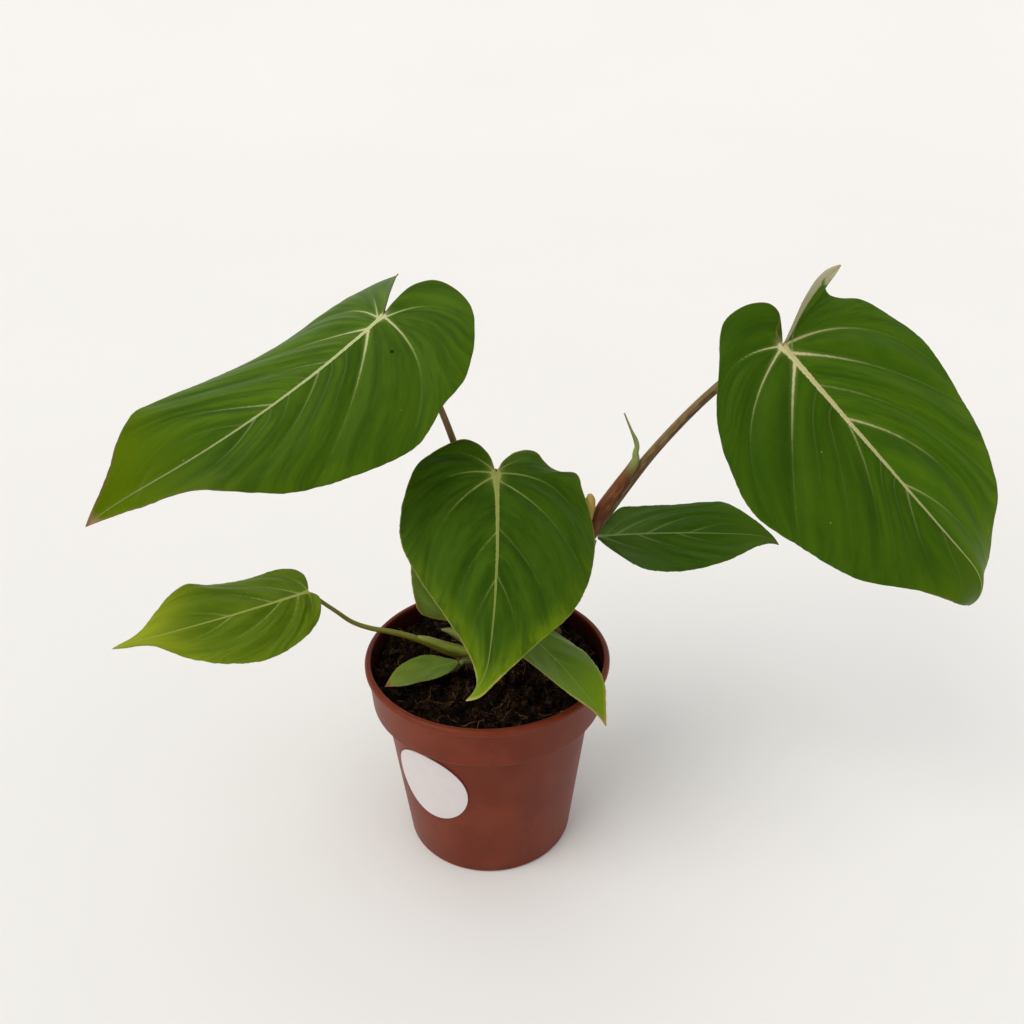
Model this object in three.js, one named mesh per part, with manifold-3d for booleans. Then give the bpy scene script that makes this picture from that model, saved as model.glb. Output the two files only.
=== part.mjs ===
// A young philodendron gloriosum in a plastic nursery pot, at its real size in millimetres.
// +Z is up, the plant is seen from -Y, and the origin is the middle of the pot's foot.
import * as THREE from "three";
import { mergeVertices } from "three/addons/utils/BufferGeometryUtils.js";
import Module from "manifold-3d";

const wasm = await Module();
wasm.setup();

// Clearance between pieces that touch
const GAP = 0.3;

// Nursery pot: a tapered body, a wider collar above it and a rolled bead round the mouth
const POT = {
  height: 105,
  rimRadius: 60,
  wall: 1.4,
  beadHeight: 3,
  collarTop: 58.6,
  collarBottom: 57.2,
  collarHeight: 22,
  ledge: 2.5,
  bodyTop: 51.5,
  bodyBottom: 42,
  floor: 5,
  recess: 2.5,
  footWidth: 4,
  padRadius: 11,
  edge: 1,
  sides: 44,
};
const DRAIN = { count: 6, radius: 4, ring: 26, depth: 12, sides: 10 };

// Round paper label just under the collar, left of the front
const LABEL = { radius: 20.5, thickness: 0.4, height: 56, azimuth: -125, rings: 3, sides: 32 };

// Potting mix, heaped a little round the crown and lumpy all over. Each lump wave has its height,
// its wave numbers along x and y, and the wave number and angle of the swirl that breaks it up.
const SOIL = {
  level: 96,
  heap: 2.5,
  waves: [
    { high: 1.2, x: 0.29, y: 0.1, swirl: 1.3, k: 0.17 },
    { high: 1.0, x: -0.16, y: 0.31, swirl: 0.9, k: 0.21 },
    { high: 0.6, x: 0.66, y: -0.47, swirl: 0.7, k: 0.33 },
  ],
  rings: 9,
  sides: 40,
};

// Leaf blades. Each half has three side veins from the joint into its lobe and three from the
// midrib, with rows of points along and between them. Shares are of the leaf's length.
const BLADE = {
  thickness: 0.8,
  quilt: 1.4,
  midrib: 0.016,
  forward: 1.3,
  spread: 0.3,
  curlOver: 0.4,
  hookFrom: 0.75,
  droopFrom: 0.8,
  veins: 3,
  rowsPerVein: { lobe: 4, tip: 3 },
  shortLeaf: 80,
  shortRowsPerVein: { lobe: 3, tip: 2 },
  corner: 55,
  columns: [0, 0.05, 0.22, 0.48, 0.75, 1],
  samples: 240,
  lobeReach: 0.45,
};

// Stems
const STEM = { sides: 8, stepsPerSpan: 3 };
const RHIZOME_SCAR = 0.1;

// Points closer than this are one point
const WELD = 1e-3;

// Colour and roughness of each finish
const FINISH = {
  terracotta: { color: 0xa55a48, roughness: 0.55 },
  paper: { color: 0xe9e4e2, roughness: 0.7 },
  soil: { color: 0x2c1b12, roughness: 0.95 },
  rhizome: { color: 0x6b5a33, roughness: 0.8 },
  leaf: { color: 0x3d6b14, roughness: 0.55 },
  youngLeaf: { color: 0x5f8a1c, roughness: 0.55 },
  paleLeaf: { color: 0x77964a, roughness: 0.6 },
  greenStem: { color: 0x77862f, roughness: 0.5 },
  brownStem: { color: 0x84603f, roughness: 0.5 },
  sheath: { color: 0x8a4f33, roughness: 0.5 },
  spear: { color: 0x9a8a4c, roughness: 0.5 },
};

// Each leaf: where its petiole joins, how its midrib runs and how its blade turns about it.
// Angles are degrees; heading is counted from +Y towards +X. The outline of each half runs from
// the joint round the lobe to the tip: distance from the midrib, distance along it, and lift.
const LEAVES = [
  {
    name: "back_left",
    finish: FINISH.leaf,
    joint: [-43.6, 25, 267.3],
    length: 152,
    heading: 227.3,
    turn: 10.7,
    hook: -20.9,
    pitch: -27.4,
    droop: -12.3,
    tipDroop: 5,
    roll: -12,
    twist: -34,
    fold: 5,
    curl: 25,
    right: [
      [6.5, -12, 2], [15, -23.5, 1], [26, -29, -4], [38, -22, -5], [45.5, -8.5, -5.5],
      [51, 9, -7.5], [48, 41, -9], [40, 72, -4], [31, 101, 5], [25, 113, 10.5], [17, 124.5, 10],
      [9, 134, 7],
    ],
    left: [
      [-1, -10, 1], [-0.5, -19.5, 1], [5, -27, 1], [13.5, -29.5, 0], [31, -24.5, 0.5],
      [48.5, -0.5, 2], [50, 15, 2], [54, 33, 2], [47, 55.5, 3.5], [36, 81, 7], [21, 102, 13],
      [14, 112, 13], [7, 134, 8],
    ],
  },
  {
    name: "front",
    finish: FINISH.leaf,
    joint: [5.3, 5, 200.1],
    length: 106,
    heading: 176.1,
    turn: 16.2,
    hook: 83.4,
    pitch: -41.9,
    droop: -0.9,
    tipDroop: 8,
    roll: -12,
    twist: -4,
    fold: 3,
    curl: 14,
    right: [
      [2, -8, 0], [4, -12, -1], [7, -15, -1], [13, -18, -2], [19, -17, -3], [29, -12.5, -5],
      [36, -6.5, -4], [43.5, 14.5, -6], [43, 32.5, -4], [33, 52, -2.5], [21, 68, -1], [9.5, 83, -1],
      [2.5, 97, -2],
    ],
    left: [
      [3.5, -6, -1], [7, -9.5, -2], [11, -12.5, -3.5], [18, -14.5, -3.5], [23, -13.5, -3],
      [26.5, -9.5, -3], [29, -6.5, -2], [33, -4.5, -0.5], [41, -4, 1], [43, 4.5, 2], [46, 14.5, 2],
      [45, 33, 5], [34, 59.5, 7], [18.5, 77, 3], [7, 91, 4], [4, 100, 1],
    ],
  },
  {
    name: "right",
    finish: FINISH.leaf,
    joint: [128.8, 8, 258.2],
    length: 146,
    heading: 120.3,
    turn: -2.5,
    hook: -2.1,
    pitch: -41.4,
    droop: 1,
    tipDroop: 98.3,
    roll: 40,
    twist: 0,
    fold: 3,
    curl: 20,
    right: [
      [-1, -6, 2], [-6, -11, 5], [-6, -17, 5], [-3, -21.5, 2], [4, -24.5, 0], [12.5, -24, -1.5],
      [25.5, -12, 0], [42.5, 6.5, 0], [52.5, 29, 0], [56, 47, 0.5], [50.5, 70, -0.5],
      [41.5, 95.5, 1], [24, 118, 2], [13.5, 140, 4],
    ],
    left: [
      [6, -4, 6], [16, -9, 8], [28, -12.5, 10], [34, -12.5, 11], [40, -10, 12], [35, -10, 9.5],
      [32, -9, 6.5], [33, -4, 3], [38, 1, 1.5], [44.5, 6.5, 3], [52.5, 21.5, 3], [56, 41, 5],
      [50.5, 72, 4], [46, 86.5, 4], [34.5, 111, 0], [21.5, 124.5, -7], [5, 140, -6],
    ],
  },
  {
    name: "right_low",
    finish: FINISH.leaf,
    joint: [55.7, 40, 147.2],
    length: 93,
    heading: 90.9,
    turn: 0.3,
    hook: 6.5,
    pitch: 5.2,
    droop: 10.4,
    tipDroop: 39.6,
    roll: 28,
    twist: 8,
    fold: 3,
    curl: 15,
    right: [
      [3.5, 3.5, 1], [5, 7, 2], [8, 8.5, 3], [15, 13.5, 4], [20.5, 22.5, 5], [21.5, 41.5, 4.5],
      [16, 62.5, 4], [7, 79.5, 3],
    ],
    left: [
      [5, 3, 1], [11, 8, 1.5], [17, 13, 1], [20, 22, -2], [20.5, 42.5, -2.5], [19.5, 64, 0.5],
      [15, 70.5, 2], [4, 85.5, 0.5],
    ],
  },
  {
    name: "left_low",
    finish: FINISH.youngLeaf,
    joint: [-84.4, 0, 140.7],
    length: 92,
    heading: 241.7,
    turn: 20.9,
    hook: -4.7,
    pitch: -3.8,
    droop: 7,
    tipDroop: 5,
    roll: -20,
    twist: -30,
    fold: 0,
    curl: 35,
    right: [
      [7, -2, -1], [13, -2, -0.5], [18, 1.5, 0], [21.5, 8, -0.5], [23.5, 27, -4], [22.5, 44, -2],
      [21, 54, 3], [17, 62, 3], [12, 69, 1], [3.5, 80, -1],
    ],
    left: [
      [6, -3, 2], [12, -1.5, -1], [17, 2.5, -1.5], [21.5, 9.5, -0.5], [25, 25.5, -2],
      [21.5, 43, -1], [14, 59, -1], [4, 73.5, 1.5], [1.5, 86, 0.5],
    ],
  },
  {
    name: "rim",
    finish: FINISH.youngLeaf,
    joint: [13.1, -5, 125],
    length: 70,
    heading: 141.5,
    turn: 2.8,
    hook: 0,
    pitch: -1,
    droop: 26.4,
    tipDroop: 15,
    roll: -8,
    twist: 0,
    fold: -4,
    curl: -25,
    right: [[8, 1, -1], [13, 10, -2], [16, 20, -1], [16, 34, 1], [10, 50, 1], [3, 63, 1]],
    left: [[8, 1, -1], [14, 12, -4], [17, 25, -6], [17, 34, -4], [12, 52, 0], [4, 64, 0]],
  },
  {
    name: "small",
    finish: FINISH.paleLeaf,
    joint: [-14.1, -15, 110.2],
    length: 36,
    heading: 257.7,
    turn: 0,
    hook: 0,
    pitch: -10.1,
    droop: 7.3,
    tipDroop: 5,
    roll: -5,
    twist: 0,
    fold: 3,
    curl: 12,
    right: [[2, 0, -1], [7, 5, -1], [10, 13, 2], [9, 20, 3], [6, 28, 3]],
    left: [[3, 0, 2], [8, 5, 4], [9, 12, 4], [8, 20, 4], [6, 28, 3]],
  },
  {
    name: "pale",
    finish: FINISH.paleLeaf,
    joint: [-17, 14, 114],
    length: 64,
    heading: 330,
    turn: 0,
    hook: 0,
    pitch: 76,
    droop: 10,
    tipDroop: 0,
    roll: 0,
    twist: 0,
    fold: -6,
    curl: -20,
    right: [[6, 3, 0], [13, 8, 0], [18, 17, 0], [19, 30, 0], [15, 45, 0], [7, 57, 0]],
    left: [[6, 3, 0], [13, 7, 0], [19, 11, 0], [21, 20, 0], [19, 36, 0], [9, 56, 0]],
  },
];

// Stems as centre line points with a radius: x, y, z, r
const RHIZOME = [
  [-19, -4, 95, 3.5], [-15, -2, 96, 5.5], [0, 4, 97, 6.5], [15, 13, 98, 7], [29, 21, 99, 6.5],
  [36, 25, 101, 4],
];
const PETIOLES = {
  back_left: [
    [12, 17, 98, 3.4], [5, 21, 130, 2.6], [-7, 24, 180, 1.8], [-19.9, 26, 222.9, 1.5],
    [-33.5, 27, 253, 1.5],
  ],
  front: [[7, 9, 98, 3], [9, 15, 130, 2.4], [9, 16, 170, 1.9], [6, 11, 192, 1.8]],
  right: [
    [26, 21, 98, 4.2], [38.5, 22.5, 135, 3.8], [50.6, 22.5, 158.7, 3.3], [65.9, 23.5, 183, 2.75],
    [80, 22.5, 204.4, 2.3], [98.7, 19, 229.2, 2.1], [116, 15, 248, 2],
  ],
  right_low: [[32, 23, 99, 2.6], [41, 33, 118, 2], [49, 38, 134, 1.7], [53, 40, 142, 1.6]],
  left_low: [
    [-6, 3, 99, 2.4], [-21, 3, 104, 2], [-33.8, 3, 110.7, 1.6], [-45.4, 3, 114.9, 1.4],
    [-57.7, 2.5, 118.2, 1.2], [-65.4, 2, 122, 1.1], [-72.8, 1.3, 128.9, 1], [-79, 1, 134.5, 1],
  ],
  rim: [[5, 1, 99, 2.2], [8, -2, 112, 1.7], [11, -4, 119, 1.5]],
  small: [[-6, -3, 99, 1.6], [-9, -8, 105, 1.3], [-12, -13, 108.5, 1.1]],
  pale: [[-7, 5, 99, 1.9], [-12, 10, 106, 1.4], [-16, 13, 111, 1.2]],
};

// Leaf sheaths and the rolled new leaf, which press against the petioles
const SHEATHS = [
  {
    name: "cataphyll_right",
    finish: FINISH.sheath,
    points: [
      [19, 17, 99, 3.4], [33, 18, 131, 3.7], [47, 18.8, 155.5, 3.7], [56.3, 19.2, 174.9, 3.6],
      [63.4, 20, 186.4, 3.1], [69.1, 20.8, 195.8, 2.4], [70.3, 21, 199.6, 1.8], [70.1, 21, 202.5, 1.4],
      [70.6, 21, 205.8, 1.15], [69.8, 21, 209.1, 1.1], [67.6, 20.6, 214, 0.6], [63.9, 20, 222.8, 0.33],
    ],
  },
  {
    name: "cataphyll_left_low",
    finish: FINISH.greenStem,
    points: [
      [-5, 3, 101.5, 2.8], [-20, 2.5, 106.6, 2.5], [-29, 2.5, 110.6, 1.9], [-34, 2.5, 112.7, 0.8],
    ],
  },
  {
    name: "cataphyll_scale",
    finish: FINISH.paleLeaf,
    points: [[-6, 6, 101, 1.8], [-12, 5, 110, 2.6], [-17, 4.5, 114.2, 2.1], [-22.5, 4, 116, 0.5]],
  },
  {
    name: "spear",
    finish: FINISH.spear,
    points: [
      [25, 12, 100, 2.6], [38, 12, 140, 2.8], [47.2, 13.5, 171, 2.9], [48.8, 14.2, 178.5, 2.9],
      [49.2, 14.4, 182, 2.3], [49, 14.5, 184.2, 1.2],
    ],
  },
];

const radians = THREE.MathUtils.degToRad;

// An indexed geometry from a list of points and a list of corner numbers
function surfaceOf(points, corners) {
  const geometry = new THREE.BufferGeometry().setFromPoints(points);
  geometry.setIndex(corners);
  return geometry;
}

// A closed body through rings of points, each wound counter-clockwise about the way they advance
function bodyThroughRings(rings, start, end) {
  const sides = rings[0].length;
  const points = [start, ...rings.flat(), end];
  const last = points.length - 1;
  const at = (ring, side) => 1 + ring * sides + (side % sides);
  const corners = [];
  for (let side = 0; side < sides; side++) {
    corners.push(0, at(0, side + 1), at(0, side));
    for (let ring = 0; ring + 1 < rings.length; ring++) {
      corners.push(at(ring, side), at(ring, side + 1), at(ring + 1, side + 1));
      corners.push(at(ring, side), at(ring + 1, side + 1), at(ring + 1, side));
    }
    corners.push(at(rings.length - 1, side), at(rings.length - 1, side + 1), last);
  }
  return surfaceOf(points, corners);
}

// A geometry as a solid that can be cut
function solidOf(geometry) {
  const bare = geometry.clone();
  bare.deleteAttribute("normal");
  bare.deleteAttribute("uv");
  const merged = mergeVertices(bare, WELD);
  return new wasm.Manifold(
    new wasm.Mesh({
      numProp: 3,
      vertProperties: merged.attributes.position.array,
      triVerts: new Uint32Array(merged.index.array),
    }),
  );
}

// A solid's surface as a geometry
function geometryOf(solid) {
  const mesh = solid.getMesh();
  const geometry = new THREE.BufferGeometry();
  geometry.setAttribute("position", new THREE.BufferAttribute(mesh.vertProperties, mesh.numProp));
  geometry.setIndex(new THREE.BufferAttribute(mesh.triVerts, 1));
  geometry.computeVertexNormals();
  return geometry;
}

// What is left of a body once others are taken away from it: its largest piece
function without(geometry, others) {
  let solid = solidOf(geometry);
  for (const other of others) solid = solid.subtract(solidOf(other));
  const pieces = solidOf(geometryOf(solid)).decompose();
  pieces.sort((a, b) => b.volume() - a.volume());
  return geometryOf(pieces[0]);
}

// The midrib of a leaf as a curve in space, with the directions along, across and out of the blade
class Midrib {
  constructor(leaf) {
    this.leaf = leaf;
    this.first = -BLADE.lobeReach * leaf.length;
    this.step = (leaf.length - this.first) / BLADE.samples;
    this.places = [new THREE.Vector3()];
    for (let i = 1; i <= BLADE.samples; i++) {
      const middle = this.first + (i - 0.5) * this.step;
      const ahead = this.frame(middle).along.multiplyScalar(this.step);
      this.places.push(this.places[i - 1].clone().add(ahead));
    }
    this.shift = new THREE.Vector3(...leaf.joint).sub(this.place(0));
  }

  // A place on the integrated line, before it is moved to the joint
  place(distance) {
    const steps = (distance - this.first) / this.step;
    const i = Math.min(Math.floor(steps), BLADE.samples - 1);
    return this.places[i].clone().lerp(this.places[i + 1], steps - i);
  }

  // Unit vectors at a distance along the midrib
  frame(distance) {
    const { leaf } = this;
    const share = distance / leaf.length;
    const late = (from) => Math.max(0, (share - from) / (1 - from)) ** 2;
    const heading = radians(leaf.heading + leaf.turn * share + leaf.hook * late(BLADE.hookFrom));
    const fall = leaf.droop * Math.max(0, share) + leaf.tipDroop * late(BLADE.droopFrom);
    const pitch = radians(leaf.pitch - fall);
    const roll = radians(leaf.roll + leaf.twist * share);
    const along = new THREE.Vector3(
      Math.sin(heading) * Math.cos(pitch),
      Math.cos(heading) * Math.cos(pitch),
      Math.sin(pitch),
    );
    const level = new THREE.Vector3(Math.cos(heading), -Math.sin(heading), 0);
    const rising = new THREE.Vector3().crossVectors(level, along);
    const across = level.clone().multiplyScalar(Math.cos(roll)).addScaledVector(rising, -Math.sin(roll));
    const out = rising.multiplyScalar(Math.cos(roll)).addScaledVector(level, Math.sin(roll));
    return { along, across, out };
  }

  // A point of the curled blade: side 1 or -1, distance out, distance along, height off the blade
  point(side, out, distance, height) {
    const { leaf } = this;
    const { across, out: normal } = this.frame(distance);
    const bendRadius = (BLADE.curlOver * leaf.length) / radians(leaf.curl);
    const start = radians(leaf.fold);
    const angle = start + out / bendRadius;
    const wide = bendRadius * (Math.sin(angle) - Math.sin(start)) + height * Math.sin(angle);
    const high = bendRadius * (Math.cos(angle) - Math.cos(start)) + height * Math.cos(angle);
    return this.place(distance)
      .add(this.shift)
      .addScaledVector(across, side * wide)
      .addScaledVector(normal, high);
  }
}

// How many rows of points a half of the blade has from vein to vein, and in its lobe and tip
function rowCounts(leaf) {
  const perVein = leaf.length < BLADE.shortLeaf ? BLADE.shortRowsPerVein : BLADE.rowsPerVein;
  return { perVein, lobe: BLADE.veins * perVein.lobe, tip: BLADE.veins * perVein.tip };
}

// Points of one margin, as many as the blade has rows, and the midrib points that they answer to.
// The rows that fan out from the joint end where a side vein would just leave the midrib.
function marginRows(leaf, outline) {
  const points = [[0, 0, 0], ...outline, [0, leaf.length, 0]].map((p) => new THREE.Vector3(...p));
  const curve = new THREE.CatmullRomCurve3(points, false, "centripetal");
  const walk = curve.getSpacedPoints(BLADE.samples);
  const count = rowCounts(leaf);
  const foot = (p) => p.y - BLADE.forward * p.x;
  let turn = BLADE.samples;
  while (turn > 0 && foot(walk[turn - 1]) > 0) turn--;
  const rows = [];
  for (let row = 0; row <= count.lobe; row++) {
    rows.push(walk[Math.round((turn * row) / count.lobe)].clone());
  }
  let i = turn;
  for (let row = 1; row < count.tip; row++) {
    const wanted = (leaf.length * row) / count.tip;
    while (foot(walk[i + 1]) < wanted) i++;
    const share = (wanted - foot(walk[i])) / (foot(walk[i + 1]) - foot(walk[i]));
    rows.push(walk[i].clone().lerp(walk[i + 1], share));
  }
  rows.push(points.at(-1));

  // A sharp corner of the lobe draws the nearest row to itself
  for (let k = 1; k + 1 < points.length; k++) {
    const before = points[k].clone().sub(points[k - 1]);
    const after = points[k + 1].clone().sub(points[k]);
    if (before.angleTo(after) < radians(BLADE.corner)) continue;
    const apart = rows.map((row) => row.distanceTo(points[k]));
    const nearest = apart.indexOf(Math.min(...apart));
    if (nearest > 0 && nearest < count.lobe) rows[nearest] = points[k];
  }
  return rows;
}

// A blade: rows of points that follow its side veins from the midrib to the margin, on both
// faces alike, with the quilting between the veins and a midrib that swells the underside
function bladeGeometry(leaf, growth = 0) {
  const midrib = new Midrib(leaf);
  const count = rowCounts(leaf);
  const rows = count.lobe + count.tip;
  const columns = BLADE.columns.length - 1;
  const footAt = (row) => (leaf.length * Math.max(0, row - count.lobe)) / count.tip;
  const veinAt = (row) =>
    Math.min(row, count.lobe) / count.perVein.lobe + Math.max(0, row - count.lobe) / count.perVein.tip;
  const points = [];
  const swell = [];
  const numbers = new Map();

  function number(side, row, column, margin) {
    const onMidrib = column === 0 || row === 0 || row === rows;
    const foot = row === 0 ? 0 : footAt(row);
    const key = onMidrib ? `foot ${foot}` : `${side} ${row} ${column}`;
    if (!numbers.has(key)) {
      const t = onMidrib ? 0 : BLADE.columns[column];
      const bend = 2 * t * (1 - t) * (foot + BLADE.spread * (margin.y - foot));
      const distance = t * t * margin.y + bend + (1 - t) * (1 - t) * foot;
      const wave = -Math.cos(2 * Math.PI * veinAt(row)) * Math.sin((Math.PI * row) / rows);
      const quilt = (BLADE.quilt / 2) * wave * 4 * t * (1 - t);
      numbers.set(key, points.length);
      points.push(midrib.point(side, t * margin.x, distance, t * t * margin.z + quilt));
      swell.push(onMidrib ? BLADE.midrib * (leaf.length - foot) : 0);
    }
    return numbers.get(key);
  }

  const face = [];
  const rim = [];
  for (const [side, outline] of [[1, leaf.right], [-1, leaf.left]]) {
    const margins = marginRows(leaf, outline);
    for (let row = 0; row < rows; row++) {
      for (let column = 0; column < columns; column++) {
        const a = number(side, row, column, margins[row]);
        const b = number(side, row, column + 1, margins[row]);
        const c = number(side, row + 1, column + 1, margins[row + 1]);
        const d = number(side, row + 1, column, margins[row + 1]);
        for (const [p, q, r] of [[a, b, c], [a, c, d]]) {
          if (p === q || q === r || r === p) continue;
          face.push(side > 0 ? [p, q, r] : [p, r, q]);
        }
        if (column === columns - 1) rim.push(side > 0 ? [b, c] : [c, b]);
      }
    }
  }

  const middle = surfaceOf(points, face.flat());
  middle.computeVertexNormals();
  const normals = middle.getAttribute("normal");
  const half = BLADE.thickness / 2 + growth;
  const faces = [half, -half].map((lift, below) =>
    points.map((point, i) => {
      const normal = new THREE.Vector3().fromBufferAttribute(normals, i);
      return point.clone().addScaledVector(normal, lift - below * swell[i]);
    }),
  );
  const under = points.length;
  const corners = face.flatMap(([p, q, r]) => [p, q, r, under + p, under + r, under + q]);
  for (const [from, to] of rim) {
    corners.push(from, under + from, under + to, from, under + to, to);
  }
  return surfaceOf(faces.flat(), corners);
}

// A round stem along a smooth line, its radius running evenly from point to point
function stemGeometry(points, { growth = 0, scar = 0 } = {}) {
  const centres = points.map(([x, y, z]) => new THREE.Vector3(x, y, z));
  const line = new THREE.CatmullRomCurve3(centres, false, "centripetal");
  const steps = (points.length - 1) * STEM.stepsPerSpan;
  const rings = [];
  let sideways = new THREE.Vector3(0, 1, 0);
  for (let step = 0; step <= steps; step++) {
    const centre = line.getPoint(step / steps);
    const tangent = line.getTangent(step / steps);
    sideways = sideways.clone().addScaledVector(tangent, -sideways.dot(tangent)).normalize();
    const upward = new THREE.Vector3().crossVectors(tangent, sideways);
    const span = Math.min(Math.floor(step / STEM.stepsPerSpan), points.length - 2);
    const share = step / STEM.stepsPerSpan - span;
    const thickness = THREE.MathUtils.lerp(points[span][3], points[span + 1][3], share);
    const radius = growth + thickness * (1 - scar * (step % 2));
    rings.push(
      Array.from({ length: STEM.sides }, (_, side) => {
        const angle = (2 * Math.PI * side) / STEM.sides;
        return centre
          .clone()
          .addScaledVector(sideways, radius * Math.cos(angle))
          .addScaledVector(upward, radius * Math.sin(angle));
      }),
    );
  }
  return bodyThroughRings(rings, centres[0], centres.at(-1));
}

// The petiole's line, ended just under and behind the joint of its leaf
function petioleLine(leaf) {
  const points = PETIOLES[leaf.name];
  const radius = points.at(-1)[3];
  const drop = BLADE.thickness / 2 + 2 * GAP + BLADE.midrib * leaf.length;
  const end = new Midrib(leaf).point(1, 0, -radius - GAP, -drop);
  return [...points, [...end.toArray(), radius]];
}

// Radius of the pot's outer wall at a height
function wallRadius(height) {
  const bodyHeight = POT.height - POT.collarHeight - POT.ledge;
  return THREE.MathUtils.lerp(POT.bodyBottom, POT.bodyTop, height / bodyHeight);
}

// The pot: one turned wall with its foot, floor and centre pad, and drain holes through the floor
function potGeometry() {
  const shoulder = POT.height - POT.collarHeight;
  const beadBottom = POT.height - POT.beadHeight;
  const { edge, wall } = POT;
  const profile = [
    [0, 0],
    [POT.padRadius, 0],
    [POT.padRadius + edge, POT.recess],
    [POT.bodyBottom - POT.footWidth, POT.recess],
    [POT.bodyBottom - POT.footWidth + edge, 0],
    [POT.bodyBottom - edge, 0],
    [POT.bodyBottom, edge],
    [POT.bodyTop, shoulder - POT.ledge],
    [POT.collarBottom - edge, shoulder - edge],
    [POT.collarBottom, shoulder],
    [POT.collarTop, beadBottom - edge],
    [POT.rimRadius, beadBottom],
    [POT.rimRadius, POT.height - edge],
    [POT.rimRadius - edge, POT.height],
    [POT.collarTop - wall, POT.height],
    [POT.collarBottom - wall, shoulder + wall],
    [POT.bodyTop - wall, shoulder - POT.ledge + wall],
    [wallRadius(POT.floor) - wall, POT.floor],
    [0, POT.floor],
  ].map(([r, z]) => new THREE.Vector2(r, z));
  const turned = new THREE.LatheGeometry(profile, POT.sides).rotateX(Math.PI / 2);
  const holes = [];
  for (let i = 0; i < DRAIN.count; i++) {
    const angle = (2 * Math.PI * (i + 0.5)) / DRAIN.count;
    const hole = new THREE.CylinderGeometry(DRAIN.radius, DRAIN.radius, DRAIN.depth, DRAIN.sides);
    hole.rotateX(Math.PI / 2);
    hole.translate(DRAIN.ring * Math.cos(angle), DRAIN.ring * Math.sin(angle), 0);
    holes.push(hole);
  }
  return without(turned, holes);
}

// The label: a disc bent round the tapered wall
function labelGeometry() {
  const point = (radius, angle, lift) => {
    const height = LABEL.height + radius * Math.sin(angle);
    const stand = wallRadius(height) + GAP + lift;
    const azimuth = radians(LABEL.azimuth) + (radius * Math.cos(angle)) / wallRadius(LABEL.height);
    return new THREE.Vector3(stand * Math.cos(azimuth), stand * Math.sin(azimuth), height);
  };
  const ring = (radius, lift) =>
    Array.from({ length: LABEL.sides }, (_, i) => point(radius, (2 * Math.PI * i) / LABEL.sides, lift));
  const radii = Array.from({ length: LABEL.rings }, (_, i) => (LABEL.radius * (i + 1)) / LABEL.rings);
  const back = radii.map((radius) => ring(radius, 0));
  const front = radii.toReversed().map((radius) => ring(radius, LABEL.thickness));
  return bodyThroughRings([...back, ...front], point(0, 0, 0), point(0, 0, LABEL.thickness));
}

// Height of the potting mix at a place
function soilHeight(x, y) {
  let height = SOIL.level + SOIL.heap * (1 - Math.hypot(x, y) / POT.bodyTop);
  for (const wave of SOIL.waves) {
    const swirl = wave.swirl * Math.sin(wave.k * (x - y));
    height += wave.high * Math.sin(wave.x * x + wave.y * y + swirl);
  }
  return height;
}

// The potting mix: a plug inside the pot's wall with a lumpy top
function soilGeometry() {
  const shoulder = POT.height - POT.collarHeight;
  const clear = POT.wall + GAP;
  const ring = (radius, height) =>
    Array.from({ length: SOIL.sides }, (_, i) => {
      const angle = (2 * Math.PI * i) / SOIL.sides;
      const x = radius * Math.cos(angle);
      const y = radius * Math.sin(angle);
      return new THREE.Vector3(x, y, height ?? soilHeight(x, y));
    });
  const rings = [
    ring(wallRadius(POT.floor) - clear, POT.floor + GAP),
    ring(POT.bodyTop - clear, shoulder - POT.ledge + POT.wall),
    ring(POT.collarBottom - clear, shoulder + POT.wall + GAP),
  ];
  for (let i = SOIL.rings; i > 0; i--) {
    rings.push(ring(((POT.collarBottom - clear) * i) / SOIL.rings));
  }
  const bottom = new THREE.Vector3(0, 0, POT.floor + GAP);
  return bodyThroughRings(rings, bottom, new THREE.Vector3(0, 0, soilHeight(0, 0)));
}

// A named mesh with its own finish
function piece(name, geometry, finish) {
  const mesh = new THREE.Mesh(geometry, new THREE.MeshStandardMaterial({ ...finish, metalness: 0 }));
  mesh.name = name;
  return mesh;
}

const plant = new THREE.Group();
plant.name = "potted_philodendron_gloriosum";
plant.add(piece("rhizome", stemGeometry(RHIZOME, { scar: RHIZOME_SCAR }), FINISH.rhizome));

// Room that the stems placed so far need, the rhizome's first
const taken = [stemGeometry(RHIZOME, { growth: GAP })];

for (const leaf of LEAVES) {
  const line = petioleLine(leaf);
  const petiole = without(stemGeometry(line), [...taken, bladeGeometry(leaf, GAP)]);
  taken.push(stemGeometry(line, { growth: GAP }));
  const stemFinish = leaf.finish === FINISH.leaf ? FINISH.brownStem : FINISH.greenStem;
  plant.add(piece(`blade_${leaf.name}`, bladeGeometry(leaf), leaf.finish));
  plant.add(piece(`petiole_${leaf.name}`, petiole, stemFinish));
}
for (const { name, points, finish } of SHEATHS) {
  plant.add(piece(name, without(stemGeometry(points), taken), finish));
  taken.push(stemGeometry(points, { growth: GAP }));
}
plant.add(piece("soil", without(soilGeometry(), taken), FINISH.soil));
plant.add(piece("pot", potGeometry(), FINISH.terracotta));
plant.add(piece("label", labelGeometry(), FINISH.paper));

export default plant;
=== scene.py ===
"""Dresses a potted philodendron gloriosum: its leaves, stems, potting mix, pot and label.

Sizes are in millimetres and are turned to metres where a mesh is made.
"""

from __future__ import annotations

import logging
import math
from collections.abc import Callable
from dataclasses import dataclass, field
from enum import Enum
from functools import partial

import bpy
import numpy as np
from mathutils import Matrix, Vector

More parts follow.
